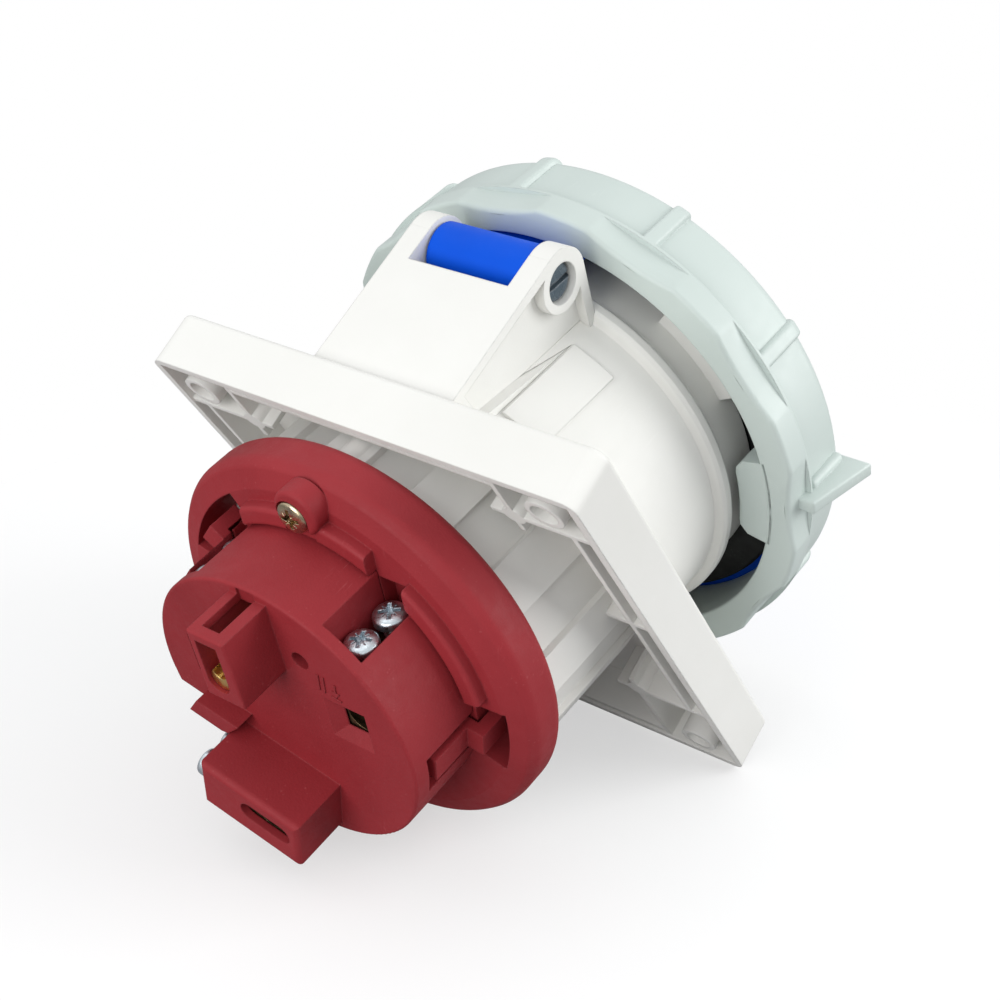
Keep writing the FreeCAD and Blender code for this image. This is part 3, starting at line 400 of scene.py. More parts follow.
def moulding(name, colour, deep, worn, gloss, grain=2600.0, bump=0.10, speck=0.2, speck_strength=0.3,
             wear=0.5, level=0.5):
    """A moulded plastic; colour drifts towards deep, and edges, specks and scuffs towards worn."""
    material, tree, surface = new_material(name)
    edges = place_group(tree, soft_edges, Radius=0.0004)
    skin = place_group(tree, moulded_skin, Grain_scale=grain, Speck_amount=speck)
    tone = blend_colour(tree, skin.outputs["Tone"], colour, deep)
    marks = math(tree, "MULTIPLY", skin.outputs["Specks"], speck_strength)
    rubs = math(tree, "MULTIPLY", skin.outputs["Scuffs"], wear)
    rims = math(tree, "MULTIPLY", edges.outputs["Edge"], wear * EDGE_WEAR)
    light = math(tree, "MAXIMUM", math(tree, "MAXIMUM", marks, rubs), rims)
    tree.links.new(blend_colour(tree, light, tone, worn), surface.inputs["Base Color"])
    satin = ramp(tree, skin.outputs["Sheen"], 0.0, 1.0, *gloss)
    rough = math(tree, "ADD", satin, math(tree, "MULTIPLY", rubs, SCUFF_ROUGHNESS))
    tree.links.new(rough, surface.inputs["Roughness"])
    relief(tree, surface, skin.outputs["Height"], edges, bump, 0.0003)
    surface.inputs["Specular IOR Level"].default_value = level
    return material


white_plastic = moulding(
    "white plastic", (0.80, 0.795, 0.765, 1), (0.76, 0.755, 0.72, 1), (0.86, 0.86, 0.84, 1),
    (0.40, 0.52), speck=0.12, speck_strength=0.15, wear=0.25, level=0.4,
)
grey_plastic = moulding(
    "grey plastic", (0.56, 0.63, 0.60, 1), (0.52, 0.59, 0.56, 1), (0.70, 0.75, 0.72, 1),
    (0.36, 0.48), speck=0.15, speck_strength=0.25,
)
red_plastic = moulding(
    "burgundy plastic", (0.310, 0.027, 0.034, 1), (0.235, 0.017, 0.022, 1), (0.44, 0.10, 0.105, 1),
    (0.50, 0.66), bump=0.30, speck=0.26, speck_strength=0.26, wear=0.75, grain=2200.0, level=0.22,
)
blue_plastic = moulding(
    "blue plastic", (0.0, 0.092, 0.70, 1), (0.0, 0.076, 0.61, 1), (0.04, 0.20, 0.85, 1),
    (0.42, 0.54), bump=0.08, speck=0.1, speck_strength=0.1, wear=0.25, level=0.12,
)
dark_polymer = moulding(
    "dark polymer", (0.085, 0.115, 0.14, 1), (0.06, 0.08, 0.10, 1), (0.30, 0.34, 0.37, 1),
    (0.22, 0.34), wear=0.8,
)
black_rubber = moulding(
    "black rubber", (0.017, 0.017, 0.018, 1), (0.011, 0.011, 0.011, 1), (0.06, 0.06, 0.06, 1),
    (0.55, 0.75), bump=0.3, speck=0.25, speck_strength=0.5, level=0.35,
)
plastics = (white_plastic, grey_plastic, red_plastic, blue_plastic, dark_polymer, black_rubber)
print("plastics:", [material.name for material in plastics])

# %% [markdown]
# ## Metals
# Screws are zinc plated, and pins are nickel plated brass. The brass blocks sit deep in the insert,
# where little light comes, so their brass is rougher and its colour is darkened as painted shade.

# %% Metals
def plated(name, colour, stain, gloss, edge_radius=0.0002, bump=0.08, stain_amount=0.6):
    """A machined and plated metal with cloudy stains."""
    material, tree, surface = new_material(name)
    edges = place_group(tree, soft_edges, Radius=edge_radius)
    skin = place_group(tree, metal_skin, Stain_amount=stain_amount)
    tone = blend_colour(tree, skin.outputs["Stains"], colour, stain)
    bright = tuple(min(1.0, c * 1.12) for c in colour[:3]) + (1,)
    tree.links.new(blend_colour(tree, edges.outputs["Edge"], tone, bright), surface.inputs["Base Color"])
    tree.links.new(ramp(tree, skin.outputs["Polish"], 0.0, 1.0, *gloss), surface.inputs["Roughness"])
    surface.inputs["Metallic"].default_value = 1.0
    relief(tree, surface, skin.outputs["Height"], edges, bump, 0.0002)
    return material


bright_zinc = plated("bright zinc", (0.66, 0.72, 0.76, 1), (0.42, 0.50, 0.56, 1), (0.24, 0.42), bump=0.16)
yellow_zinc = plated(
    "yellow zinc", (0.62, 0.51, 0.34, 1), (0.30, 0.25, 0.22, 1), (0.2, 0.36), stain_amount=0.9
)
spring_steel = plated("spring steel", (0.56, 0.57, 0.58, 1), (0.34, 0.34, 0.34, 1), (0.2, 0.3))
nickel = plated(
    "nickel plate", (0.70, 0.66, 0.58, 1), (0.55, 0.50, 0.42, 1), (0.14, 0.26), edge_radius=0.0003
)
bare_brass = plated("bare brass", (0.80, 0.56, 0.20, 1), (0.50, 0.32, 0.12, 1), (0.22, 0.38))
# Brass whose colour is darkened as painted shade, for the blocks deep in the insert; it is also rougher.
shade_darkened_brass = plated("shade-darkened brass", (0.16, 0.11, 0.06, 1), (0.07, 0.05, 0.03, 1), (0.35, 0.55))
metals = (bright_zinc, yellow_zinc, spring_steel, nickel, bare_brass, shade_darkened_brass)
print("metals:", [material.name for material in metals])

# %% [markdown]
# ## A finish for every CAD piece
# The record gives each CAD piece a material slot, so one table from slots to finishes paints all of
# them, and a new piece with a known slot would need no new code.

# %% A finish for every CAD piece
finish_of = {
    "white_plastic": white_plastic,
    "blue_plastic": blue_plastic,
    "grey_plastic": grey_plastic,
    "red_plastic": red_plastic,
    "dark_polymer": dark_polymer,
    "black_rubber": black_rubber,
    "spring_steel": spring_steel,
    "yellow_zinc": yellow_zinc,
    "bright_zinc": bright_zinc,
    "nickel_brass": nickel,
    "bare_brass": bare_brass,
}
slot_of = {row["node"]: row["material_slot"] for row in frame["record"]["subparts"]}
SHADED_TERMINALS = ("line_terminal", "neutral_terminal", "earth_terminal")
for node, piece in frame["nodes"].items():
    piece.data.materials.clear()
    # The terminals deep in the insert get the brass that is darkened as painted shade.
    finish = shade_darkened_brass if node in SHADED_TERMINALS else finish_of[slot_of[node]]
    piece.data.materials.append(finish)
print("finishes:", sorted(set(slot_of.values())))

# %% [markdown]
# ## Geometry Nodes helpers
# The gripping ring and the screws follow rules, so node trees grow them. A small source mesh carries
# the points and their attributes, the tree does the repeating, and the result is frozen as a plain
# mesh that is then carried from the inlet's frame to its place.

# %% A tree with named inputs
def new_tree(name, inputs):
    """An empty Geometry Nodes tree; inputs are (label, socket type, default)."""
    tree = bpy.data.node_groups.new(name, "GeometryNodeTree")
    tree.is_modifier = True
    tree.interface.new_socket("Geometry", in_out="INPUT", socket_type="NodeSocketGeometry")
    keys = {}
    for label, kind, default in inputs:
        socket = tree.interface.new_socket(label, in_out="INPUT", socket_type=kind)
        if default is not None:
            socket.default_value = default
        keys[label] = socket.identifier
    tree.interface.new_socket("Geometry", in_out="OUTPUT", socket_type="NodeSocketGeometry")
    return tree, tree.nodes.new("NodeGroupInput").outputs, tree.nodes.new("NodeGroupOutput"), keys


def join(tree, parts):
    """Several geometries as one."""
    node = tree.nodes.new("GeometryNodeJoinGeometry")
    for part in parts:
        tree.links.new(part, node.inputs["Geometry"])
    return node.outputs["Geometry"]


def finish_tree(tree, geometry, material, leave):
    """The last two nodes: real meshes instead of instances, then the material."""
    real = add(tree, "GeometryNodeRealizeInstances", Geometry=geometry)
    painted = add(tree, "GeometryNodeSetMaterial", Geometry=real.outputs["Geometry"], Material=material)
    tree.links.new(painted.outputs["Geometry"], leave.inputs["Geometry"])


def named(tree, label, kind="FLOAT"):
    """Reads an attribute of the source mesh."""
    return add(tree, "GeometryNodeInputNamedAttribute", {"data_type": kind}, Name=label).outputs["Attribute"]


# %% A way to run a tree and to freeze what it grows
MERGE = 0.004


def source_points(name, points, attributes):
    """A mesh of loose points with float or vector attributes on them."""
    mesh = bpy.data.meshes.new(name)
    mesh.from_pydata(points, [], [])
    for label, values in attributes.items():
        vector = isinstance(values[0], tuple)
        layer = mesh.attributes.new(label, "FLOAT_VECTOR" if vector else "FLOAT", "POINT")
        for item, value in zip(layer.data, values):
            setattr(item, "vector" if vector else "value", value)
    return mesh


def grow(name, source, tree, keys, values):
    """Runs a tree on a source mesh and gives back the plain mesh that it makes."""
    seed = bpy.data.objects.new(name + "_seed", source)
    scene.collection.objects.link(seed)
    growth = seed.modifiers.new("growth", "NODES")
    growth.node_group = tree
    for label, value in values.items():
        growth[keys[label]] = value
    bpy.context.view_layer.update()
    grown = seed.evaluated_get(bpy.context.evaluated_depsgraph_get())
    mesh = bpy.data.meshes.new_from_object(grown)
    seed.modifiers.remove(growth)
    bpy.data.objects.remove(seed)
    return mesh


def settle(mesh, name, body, material, crease=32.0):
    """A mesh in the inlet's frame becomes a finished piece in the row frame, riding on its body."""
    shape = bmesh.new()
    shape.from_mesh(mesh)
    bmesh.ops.remove_doubles(shape, verts=shape.verts, dist=MERGE)
    bmesh.ops.recalc_face_normals(shape, faces=shape.faces)
    shape.to_mesh(mesh)
    shape.free()
    mesh.transform(SEAT_MM)
    mesh.name = name
    mesh.materials.clear()
    mesh.materials.append(material)
    mesh.shade_smooth()
    mesh.set_sharp_from_angle(angle=radians(crease))
    piece = bpy.data.objects.new(name, mesh)
    scene.collection.objects.link(piece)
    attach(piece, body)
    print(name, len(mesh.polygons), "faces, mm:", [round(1000 * v, 1) for v in piece.dimensions])
    return piece


# %% [markdown]
# ## The gripping ring
# The locking ring is one thick moulding that is turned by hand. Its rim is scalloped by eleven dished
# scoops, and on the cup in front of each scoop a rounded rib runs forward from the rim and melts into
# the rounded front edge. One scoop has a wing instead of a rib. The hoop is a closed cross-section
# swept round the axis: the tree lays a grid over the sweep, packs its columns closer at the ribs,
# pushes the rim in where a scoop is, and pushes the cup out along its own normal where a rib is. So
# there is no Boolean, and every rib grows out of the moulding.

# %% The ring's cross-section, with rounded corners
RIM_RADIUS, CUP_RADIUS = 56.0, 54.8
RIM_BACK, RIM_FRONT, RING_FRONT = 41.0, 47.6, 61.0
RING_CORNERS = [
    (49.2, RIM_BACK, 0.5), (RIM_RADIUS, RIM_BACK, 0.9), (RIM_RADIUS, RIM_FRONT, 0.5),
    (CUP_RADIUS, RIM_FRONT, 0.35), (CUP_RADIUS, RING_FRONT, 3.1), (51.0, RING_FRONT, 0.6),
    (51.0, 53.4, 0.15), (49.2, 53.4, 0.3),
]
ARC_STEPS = 6
LONGEST_RUN = 1.6
CREASE_GAP = 0.03
SCOOP_END = 46.6
SHALLOW = 0.55


def rounded_loop(corners):
    """A closed polygon of (radius, forward) points whose corners are arcs of the given radius."""
    points = []
    for index, (out, forward, fillet) in enumerate(corners):
        corner = Vector((out, forward))
        before = (Vector(corners[index - 1][:2]) - corner).normalized()
        after = (Vector(corners[(index + 1) % len(corners)][:2]) - corner).normalized()
        half = before.angle(after) / 2
        reach = fillet / max(0.2, abs(sin(half) / cos(half)))
        centre = corner + (before + after).normalized() * fillet / sin(half)
        start, end = corner + before * reach - centre, corner + after * reach - centre
        turn = start.angle_signed(end)
        steps = ARC_STEPS * 2 if fillet > 2 else ARC_STEPS
        for step in range(steps + 1):
            angle = -turn * step / steps
            across = start.x * cos(angle) - start.y * sin(angle)
            along = start.x * sin(angle) + start.y * cos(angle)
            points.append(centre + Vector((across, along)))
    return points


def densify(points):
    """Extra points on the long runs of a closed loop, and a close pair where the scoops end."""
    dense = []
    for index, point in enumerate(points):
        following = points[(index + 1) % len(points)]
        run = (following - point).length
        parts = max(1, round(run / LONGEST_RUN))
        stops = [part / parts for part in range(parts)]
        if point.x > 55 and (point.y - SCOOP_END) * (following.y - SCOOP_END) < 0:
            cross = (SCOOP_END - point.y) / (following.y - point.y)
            gap = CREASE_GAP / run
            kept = [stop for stop in stops if abs(stop - cross) > 3 * gap]
            stops = sorted(kept + [cross - gap, cross + gap])
        dense += [point.lerp(following, stop) for stop in stops]
    return dense


section = densify(rounded_loop(RING_CORNERS))
print("ring section has", len(section), "points")

# %% [markdown]
# ## What each point of the section does
# A rib can't simply be pushed out along the section's normal everywhere. On the shoulder between rim
# and cup it must rise straight outwards until it is level with the rim, and on the front fillet it
# must fade away. Each point of the section carries these rules as attributes: the way it leans, how
# much of a rib it takes, and how deep a scoop may cut it.

# %% Leans, rises and dishes
RIB_HEIGHT = 1.15
RIB_CROWN = 55.95
RIB_FROM = 47.4
RIB_FADE_START, RIB_FADE = 51.6, 2.8
places, leans, rises, dishes = [], [], [], []
for index, point in enumerate(section):
    along = section[(index + 1) % len(section)] - section[index - 1]
    lean = Vector((along.y, -along.x)).normalized()
    outside = point.y > RIB_FROM and point.x > 51.2
    rise = min(1.0, max(0.0, (point.x - RIB_FADE_START) / RIB_FADE)) if outside else 0.0
    on_shoulder = 47.3 < point.y < 48.0 and point.x > 54.6
    if on_shoulder:
        lean = Vector((1.0, 0.0))
        rise = max(0.0, (RIB_CROWN - point.x) / RIB_HEIGHT)
    in_scoop = point.x > 55.0 and point.y < SCOOP_END
    depth = 1.0 - (1.0 - SHALLOW) * (point.y - RIM_BACK) / (SCOOP_END - RIM_BACK)
    places.append((point.x, 0.0, point.y))
    leans.append((lean.x, 0.0, lean.y))
    rises.append(rise)
    dishes.append(depth if in_scoop else 0.0)
print("rib rises on", sum(r > 0 for r in rises), "points, scoops cut", sum(d > 0 for d in dishes))

# %% [markdown]
# ## The ring's tree
# Every corner of the grid finds its column and its row. The column gives an angle, and how far it is
# from the middle of its scoop. The row picks a point of the section and its attributes. Plain
# arithmetic then says how deep the scoop bites there and how high the rib stands.

# %% Columns and angles
ring_tree, ask, leave, ring_keys = new_tree(
    "Gripping ring",
    [
        ("Scoops", "NodeSocketInt", 11), ("Columns each", "NodeSocketInt", 64),
        ("First angle", "NodeSocketFloat", 0.0),
        ("Scoop radius", "NodeSocketFloat", 50.0), ("Scoop distance", "NodeSocketFloat", 104.1),
        ("Rim radius", "NodeSocketFloat", RIM_RADIUS), ("Rib height", "NodeSocketFloat", RIB_HEIGHT),
        ("Rib half width", "NodeSocketFloat", 1.75), ("Lug half angle", "NodeSocketFloat", 0.2094),
        ("Material", "NodeSocketMaterial", None),
    ],
)
sums = partial(math, ring_tree)
times, plus, minus, over = (partial(sums, way) for way in ("MULTIPLY", "ADD", "SUBTRACT", "DIVIDE"))


def not_below_zero(value):
    """The value, or zero where it is negative."""
    return sums("MAXIMUM", value, 0.0)


FINE_STEPS, FINE = 12.0, 0.0038
size = add(ring_tree, "GeometryNodeAttributeDomainSize", Geometry=ask["Geometry"])
rows = size.outputs["Point Count"]
columns = times(ask["Scoops"], ask["Columns each"])
net = add(
    ring_tree, "GeometryNodeMeshGrid", Size_X=1.0, Size_Y=1.0,
    Vertices_X=plus(columns, 1.0), Vertices_Y=plus(rows, 1.0),
)
at = add(ring_tree, "GeometryNodeInputPosition").outputs["Position"]
cell = add(ring_tree, "ShaderNodeSeparateXYZ", Vector=at)
column = sums("ROUND", times(plus(cell.outputs["X"], 0.5), columns))
row = sums("MODULO", sums("ROUND", times(plus(cell.outputs["Y"], 0.5), rows)), rows)
sector = sums("FLOOR", over(column, ask["Columns each"]))
half_columns = times(ask["Columns each"], 0.5)
offset = minus(minus(column, times(sector, ask["Columns each"])), half_columns)
steps_out = sums("ABSOLUTE", offset)
pitch = over(2 * pi, ask["Scoops"])
coarse = over(minus(times(pitch, 0.5), FINE_STEPS * FINE), minus(half_columns, FINE_STEPS))
near_part = times(sums("MINIMUM", steps_out, FINE_STEPS), FINE)
far_part = times(not_below_zero(minus(steps_out, FINE_STEPS)), coarse)
away = plus(near_part, far_part)
swing = times(away, sums("SIGN", offset))
angle = plus(plus(swing, times(sector, pitch)), ask["First angle"])

# %% [markdown]
# ## Scoops and ribs
# A scoop is a bite out of the rim by a large cylinder that stands outside it, so its depth follows
# from the two circles. A rib is flat-topped with rounded flanks, which a high power gives.

# %% Scoops, ribs and the swept hoop
RIB_FLATNESS = 6.0


def from_section(value, kind):
    """The value that the cross-section's point has for this row."""
    node = ring_tree.nodes.new("GeometryNodeSampleIndex")
    node.data_type = kind
    node.domain = "POINT"
    ring_tree.links.new(ask["Geometry"], node.inputs["Geometry"])
    ring_tree.links.new(value, [s for s in node.inputs if s.name == "Value" and s.enabled][0])
    ring_tree.links.new(row, node.inputs["Index"])
    return [s for s in node.outputs if s.enabled][0]


def swept(out, turn, forward):
    """A place at a radius, an angle and a height along the axis."""
    return add(
        ring_tree, "ShaderNodeCombineXYZ",
        X=times(out, sums("COSINE", turn)), Y=times(out, sums("SINE", turn)), Z=forward,
    ).outputs["Vector"]


base = add(ring_tree, "ShaderNodeSeparateXYZ", Vector=from_section(at, "FLOAT_VECTOR"))
lean_here = from_section(named(ring_tree, "lean", "FLOAT_VECTOR"), "FLOAT_VECTOR")
lean_out = add(ring_tree, "ShaderNodeSeparateXYZ", Vector=lean_here)
rise = from_section(named(ring_tree, "rise"), "FLOAT")
dish = from_section(named(ring_tree, "dish"), "FLOAT")
sideways = times(ask["Scoop distance"], sums("SINE", away))
chord = minus(sums("POWER", ask["Scoop radius"], 2.0), sums("POWER", sideways, 2.0))
scoop_floor = minus(times(ask["Scoop distance"], sums("COSINE", away)), sums("SQRT", not_below_zero(chord)))
bite = times(not_below_zero(minus(ask["Rim radius"], scoop_floor)), dish)
across = over(times(away, base.outputs["X"]), ask["Rib half width"])
crown = sums("SQRT", not_below_zero(minus(1.0, sums("POWER", across, RIB_FLATNESS))))
has_rib = sums("GREATER_THAN", sums("MODULO", sector, ask["Scoops"]), 0.5)
bump = times(times(crown, rise), times(has_rib, ask["Rib height"]))
out = plus(minus(base.outputs["X"], bite), times(bump, lean_out.outputs["X"]))
forward = plus(base.outputs["Z"], times(bump, lean_out.outputs["Z"]))
hoop = add(
    ring_tree, "GeometryNodeSetPosition", Geometry=net.outputs["Mesh"], Position=swept(out, angle, forward)
)
hoop = add(ring_tree, "GeometryNodeMergeByDistance", Geometry=hoop.outputs["Geometry"], Distance=MERGE)

# %% [markdown]
# ## Bayonet lugs
# Three lugs inside the ring slide behind the collar's cams. Each is a cube bent round the axis, with
# ends that taper so that it finds its way in, and the tree sets it three times.

# %% Three bayonet lugs inside the ring, in the same tree
LUG_TIP, LUG_END, LUG_ROOT = 43.0, 45.2, 50.2
LUG_FRONT = 45.9
lug = add(
    ring_tree, "GeometryNodeMeshCube", Size=(1.0, 1.0, 1.0), Vertices_X=13, Vertices_Y=3, Vertices_Z=3
)
lug_at = add(ring_tree, "ShaderNodeSeparateXYZ", Vector=at).outputs
lug_angle = times(times(lug_at["X"], 2.0), ask["Lug half angle"])
tip = ramp(ring_tree, sums("ABSOLUTE", lug_at["X"]), 0.40, 0.5, LUG_TIP, LUG_END)
lug_out = ramp(ring_tree, lug_at["Y"], -0.5, 0.5, tip, LUG_ROOT)
lug_forward = ramp(ring_tree, lug_at["Z"], -0.5, 0.5, RIM_BACK, LUG_FRONT)
bent_lug = add(
    ring_tree, "GeometryNodeSetPosition", Geometry=lug.outputs["Mesh"],
    Position=swept(lug_out, lug_angle, lug_forward),
)
spots = add(ring_tree, "GeometryNodePoints", Count=3, Position=(0.0, 0.0, 0.0))
third = times(add(ring_tree, "GeometryNodeInputIndex").outputs["Index"], 2 * pi / 3)
lug_turn = add(ring_tree, "ShaderNodeCombineXYZ", Z=plus(third, ask["First angle"]))
lugs = add(
    ring_tree, "GeometryNodeInstanceOnPoints", Points=spots.outputs["Points"],
    Instance=bent_lug.outputs["Geometry"], Rotation=lug_turn.outputs["Vector"],
)
whole = join(ring_tree, (lugs.outputs["Instances"], hoop.outputs["Geometry"]))
finish_tree(ring_tree, whole, ask["Material"], leave)

# %% The finished ring
WING_TURN = radians(180.7)
section_mesh = source_points("ring_section", places, {"lean": leans, "rise": rises, "dish": dishes})
ring_values = {"First angle": WING_TURN, "Material": grey_plastic}
ring_mesh = grow("gripping_ring", section_mesh, ring_tree, ring_keys, ring_values)
ring = settle(ring_mesh, "gripping_ring", "locking_ring", grey_plastic)
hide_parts("locking_ring")

# %% [markdown]
# ## The wing
# The wing is a thin blade that stands out from the ring where one rib would be, and gives the thumb
# something to push. It is a slanted plate on a thicker root. Both are drawn as outlines,
# given a thickness, and all their edges are rounded.

# %% Plates from outlines, with rounded edges
def prism(first, last):
    """A closed shape between two matching outlines."""
    shape = bmesh.new()
    ends = [[shape.verts.new(point) for point in outline] for outline in (first, last)]
    shape.faces.new(ends[0])
    shape.faces.new(list(reversed(ends[1])))
    for index in range(len(first)):
        following = (index + 1) % len(first)
        shape.faces.new((ends[0][index], ends[1][index], ends[1][following], ends[0][following]))
    return shape


def plate(outline, thickness, edge, turn, segments):
    """A plate in the plane of (out from the axis, forward), turned about the axis; edge rounds it."""
    shape = prism(*([(x, side, z) for x, z in outline] for side in (-thickness / 2, thickness / 2)))
    bmesh.ops.recalc_face_normals(shape, faces=shape.faces)
    bmesh.ops.bevel(
        shape, geom=shape.edges[:], offset=edge, offset_type="OFFSET", segments=segments, profile=0.5,
        affect="EDGES",
    )
    shape.transform(Matrix.Rotation(turn, 4, "Z"))
    return shape


def gather(name, shapes):
    """Several bmeshes as one mesh."""
    mesh = bpy.data.meshes.new(name)
    whole = bmesh.new()
    for shape in shapes:
        part = bpy.data.meshes.new("part")
        shape.to_mesh(part)
        shape.free()
        whole.from_mesh(part)
        bpy.data.meshes.remove(part)
    whole.to_mesh(mesh)
    whole.free()
    return mesh


BLADE = [(52.3, 44.2), (57.9, 44.2), (62.1, 59.9), (52.3, 59.9)]
ROOT = [(52.3, 47.9), (56.0, 47.9), (56.6, 58.9), (52.3, 58.9)]
wing_shapes = [plate(BLADE, 3.0, 0.45, WING_TURN, 3), plate(ROOT, 6.2, 1.1, WING_TURN, 4)]
settle(gather("ring_wing", wing_shapes), "ring_wing", "locking_ring", grey_plastic)

# %% [markdown]
# ## Screws with cross recesses
# Eight small pan-head machine screws clamp the wires and hold the insert. The recess has the
# four arms of a cross and four fine ticks between them, which catch the light like a star. A tree
# makes one screw, with its domed head, its recess and a wound thread, and sets a copy on every source
# point, turned to that point's own direction and spun by a seeded random angle.

# %% The screw's head
screw_tree, ask, leave, screw_keys = new_tree(
    "Pan-head screws",
    [
        ("Head radius", "NodeSocketFloat", 3.3), ("Head height", "NodeSocketFloat", 2.4),
        ("Shank radius", "NodeSocketFloat", 1.75), ("Shank length", "NodeSocketFloat", 10.0),
        ("Pitch", "NodeSocketFloat", 0.75), ("Spin seed", "NodeSocketInt", 3),
        ("Material", "NodeSocketMaterial", None),
    ],
)
make = partial(add, screw_tree)
sums = partial(math, screw_tree)
times, minus = (partial(sums, way) for way in ("MULTIPLY", "SUBTRACT"))
DOME = 0.28
ball = make("ShaderNodeSeparateXYZ", Vector=make("GeometryNodeInputPosition").outputs["Position"]).outputs
dome = sums("POWER", sums("MAXIMUM", ball["Z"], 0.0), DOME)
dome_place = make(
    "ShaderNodeCombineXYZ", X=times(ball["X"], ask["Head radius"]), Y=times(ball["Y"], ask["Head radius"]),
    Z=times(dome, ask["Head height"]),
)
head = make("GeometryNodeMeshUVSphere", Segments=40, Rings=24, Radius=1.0)
head = make("GeometryNodeSetPosition", Geometry=head.outputs["Mesh"], Position=dome_place.outputs["Vector"])
head = make("GeometryNodeMergeByDistance", Geometry=head.outputs["Geometry"], Distance=0.002)

# %% [markdown]
# ## The recess
# The cutter is five bars that are sunk into the top of the head, given as shares of its radius and
# height. A Boolean is the honest way here, because a driver's recess has sharp walls. No two bars
# have quite the same size or turn, so that none of their faces coincide.

# %% The cross and its ticks
RECESS_BARS = (
    (1.24, 0.24, 0.62, 0.0), (1.238, 0.241, 0.621, pi / 2), (0.62, 0.55, 0.50, pi / 4),
    (1.10, 0.07, 0.20, pi / 4 + 0.001), (1.101, 0.071, 0.201, -pi / 4),
)


def arm(length, width, depth, turn):
    """One bar of the recess's cutter, as shares of the head radius, sunk from the top of the head."""
    size = make(
        "ShaderNodeCombineXYZ", X=times(ask["Head radius"], length), Y=times(ask["Head radius"], width),
        Z=times(ask["Head height"], depth * 2),
    )
    lift = make("ShaderNodeCombineXYZ", Z=ask["Head height"])
    return make(
        "GeometryNodeTransform", Geometry=make("GeometryNodeMeshCube", Size=(1.0, 1.0, 1.0)).outputs["Mesh"],
        Translation=lift.outputs["Vector"], Rotation=(0.0, 0.0, turn), Scale=size.outputs["Vector"],
    ).outputs["Geometry"]


carved = make("GeometryNodeMeshBoolean", {"operation": "DIFFERENCE", "solver": "EXACT"})
screw_tree.links.new(head.outputs["Geometry"], carved.inputs["Mesh 1"])
screw_tree.links.new(join(screw_tree, [arm(*bar) for bar in RECESS_BARS]), carved.inputs["Mesh 2"])
carved.inputs["Self Intersection"].default_value = True

# %% [markdown]
# ## Shank, thread and places
# The thread is a small diamond swept along a helix round a plain shank. The copies are turned so
# that each screw looks the way its hole does.

# %% Shank, thread and the copies
THREAD_MARGIN = 0.6
core = make("GeometryNodeMeshCylinder", Vertices=28, Radius=ask["Shank radius"], Depth=ask["Shank length"])
sunk = make("ShaderNodeCombineXYZ", Z=times(ask["Shank length"], -0.499))
core = make("GeometryNodeTransform", Geometry=core.outputs["Mesh"], Translation=sunk.outputs["Vector"])
threaded = minus(ask["Shank length"], THREAD_MARGIN)
helix = make(
    "GeometryNodeCurveSpiral", Resolution=20, Rotations=sums("DIVIDE", threaded, ask["Pitch"]),
    Start_Radius=ask["Shank radius"], End_Radius=ask["Shank radius"], Height=threaded,
)
crest = make("GeometryNodeCurvePrimitiveCircle", Resolution=4, Radius=0.24)
thread = make(
    "GeometryNodeCurveToMesh", Curve=helix.outputs["Curve"], Profile_Curve=crest.outputs["Curve"],
    Fill_Caps=True,
)
below = make("ShaderNodeCombineXYZ", Z=minus(THREAD_MARGIN / 2, ask["Shank length"]))
thread = make("GeometryNodeTransform", Geometry=thread.outputs["Mesh"], Translation=below.outputs["Vector"])
one_screw = join(
    screw_tree, (thread.outputs["Geometry"], core.outputs["Geometry"], carved.outputs["Mesh"])
)
aim_here = named(screw_tree, "aim", "FLOAT_VECTOR")
face_out = make("FunctionNodeAlignRotationToVector", {"axis": "Z"}, Vector=aim_here)
chance = make("FunctionNodeRandomValue", {"data_type": "FLOAT"}, Min=0.0, Max=pi, Seed=ask["Spin seed"])
spin = make("ShaderNodeCombineXYZ", Z=[s for s in chance.outputs if s.enabled][0])
turned_out = make(
    "FunctionNodeRotateRotation", {"rotation_space": "LOCAL"}, Rotation=face_out.outputs["Rotation"]
)
screw_tree.links.new(spin.outputs["Vector"], turned_out.inputs["Rotate By"])
set_screws = make(
    "GeometryNodeInstanceOnPoints", Points=ask["Geometry"], Instance=one_screw,
    Rotation=turned_out.outputs["Rotation"],
)
finish_tree(screw_tree, set_screws.outputs["Instances"], ask["Material"], leave)

# %% [markdown]
# ## Every screw in its place
# One table gives the heads' places in the inlet's frame, the way they look, and their sizes. Each
# group stands for one CAD node, and its box is compared with the CAD one to catch a slip.

# %% Every screw in its place
UP, AFT = (0.0, 1.0, 0.0), (0.0, 0.0, -1.0)
EARTH_TURN = radians(14.0)
EARTH_OUT = (cos(EARTH_TURN), sin(EARTH_TURN), 0.0)
EARTH_UP = -18.0


def on_earth(across, up, forward):
    """A point beside the earth terminal, which is turned in its block, in the inlet's frame."""
    return (
        across * cos(EARTH_TURN) - up * sin(EARTH_TURN),
        across * sin(EARTH_TURN) + up * cos(EARTH_TURN) + EARTH_UP,
        forward,
    )


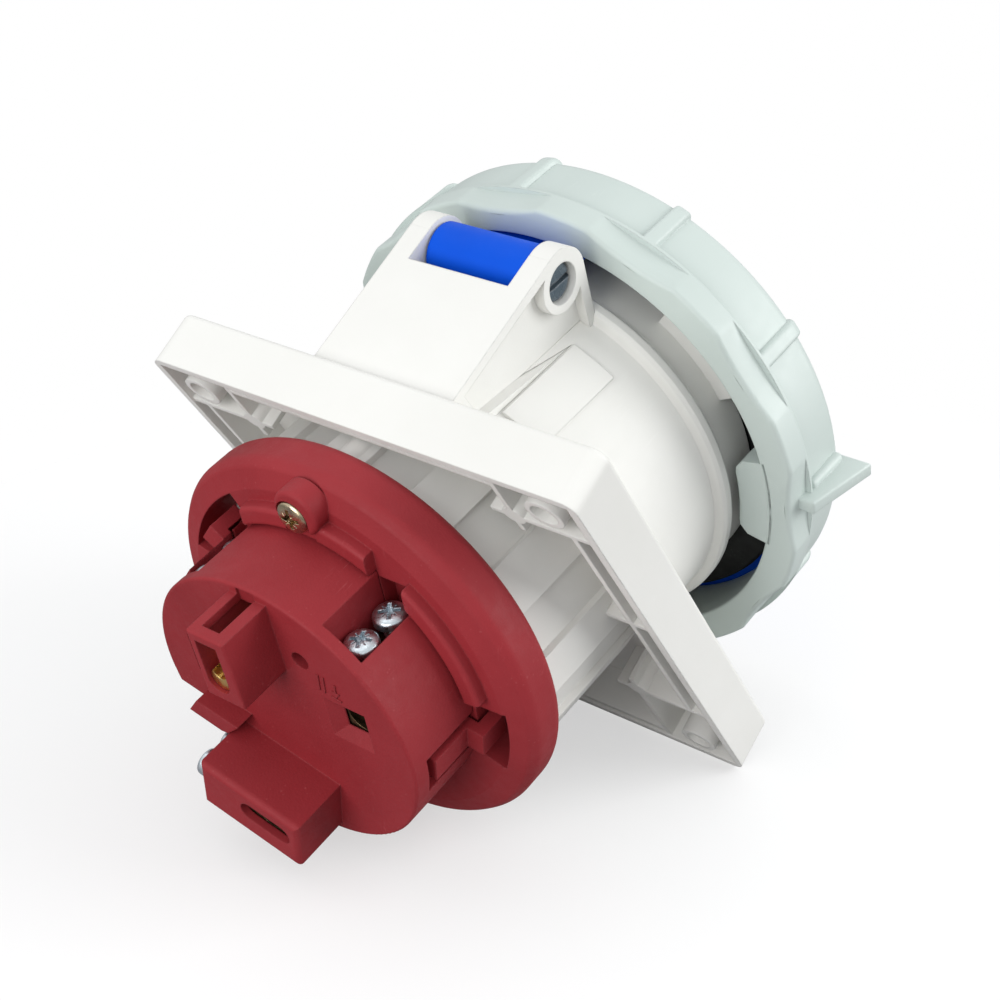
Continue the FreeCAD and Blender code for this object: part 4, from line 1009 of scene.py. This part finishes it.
LINE_HEADS = [(-18.6, 19.0, -33.5), (-18.6, 19.0, -41.4)]
NEUTRAL_HEADS = [(18.6, 19.0, -33.5), (18.6, 19.0, -41.4)]
EARTH_HEADS = [on_earth(15.8, -0.5, -50.6), on_earth(15.8, -0.5, -56.8)]
SIZE_LABELS = ("Head radius", "Head height", "Shank radius", "Shank length", "Spin seed")
SCREW_ROWS = [
    ("line_screws", "line_clamp_screws", LINE_HEADS, UP, (3.3, 2.3, 1.75, 11.0, 4)),
    ("neutral_screws", "neutral_clamp_screws", NEUTRAL_HEADS, UP, (3.3, 2.4, 1.75, 11.0, 7)),
    ("earth_screws", "earth_clamp_screws", EARTH_HEADS, EARTH_OUT, (2.8, 2.4, 1.5, 12.8, 2)),
    ("pilot_screw", "pilot_clamp_screw", [(0.2, 23.5, -52.0)], UP, (1.8, 1.4, 0.95, 3.3, 5)),
    ("retention_screw", "carrier_screw", [(-0.6, 36.2, -32.7)], AFT, (3.4, 2.2, 1.7, 20.7, 9)),
]
for name, node, points, aim, sizes in SCREW_ROWS:
    finish = yellow_zinc if node == "carrier_screw" else bright_zinc
    source = source_points(name + "_points", points, {"aim": [aim] * len(points)})
    values = {**dict(zip(SIZE_LABELS, sizes)), "Material": finish}
    mesh = grow(name, source, screw_tree, screw_keys, values)
    piece = settle(mesh, name, "housing", finish, crease=38.0)
    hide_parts(node)
    low, high = (Vector(map(pick, zip(*(v.co for v in mesh.vertices)))) for pick in (min, max))
    cad_middle = (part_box(node)[0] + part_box(node)[1]) / 2
    shift = ((low + high) / 2 - cad_middle) / MM
    print("  box centre differs from CAD by, mm:", [round(v, 2) for v in shift])

# %% [markdown]
# ## Small moulded marks
# The back face of the insert has a few raised guide marks beside its wire entries. They are plain
# bars and an arrow, a quarter of a millimetre proud, in the same plastic.

# %% Raised bars and an arrow
DRUM_BACK = -48.1
PROUD, SUNK = 0.25, 0.1


def raised(outline, turn, place):
    """A flat mark standing on the drum's back face."""
    spin = Matrix.Rotation(radians(turn), 2)
    points = [spin @ Vector(point) + Vector(place) for point in outline]
    return prism(*([(p.x, p.y, z) for p in points] for z in (DRUM_BACK + SUNK, DRUM_BACK - PROUD)))


BAR = [(-0.22, -2.0), (0.22, -2.0), (0.22, 2.0), (-0.22, 2.0)]
SHORT_BAR = [(-0.2, -1.1), (0.2, -1.1), (0.2, 1.1), (-0.2, 1.1)]
ARROW = [(-0.2, -1.5), (0.2, -1.5), (0.2, 0.4), (0.9, 0.4), (0.0, 1.9), (-0.9, 0.4), (-0.2, 0.4)]
marks = [
    raised(BAR, 8, (-12.6, 13.9)),
    raised(BAR, 8, (-13.8, 13.7)),
    raised(ARROW, 188, (-16.4, 13.4)),
    raised(SHORT_BAR, 98, (-16.2, 11.3)),
]
settle(gather("guide_marks", marks), "guide_marks", "housing", red_plastic)
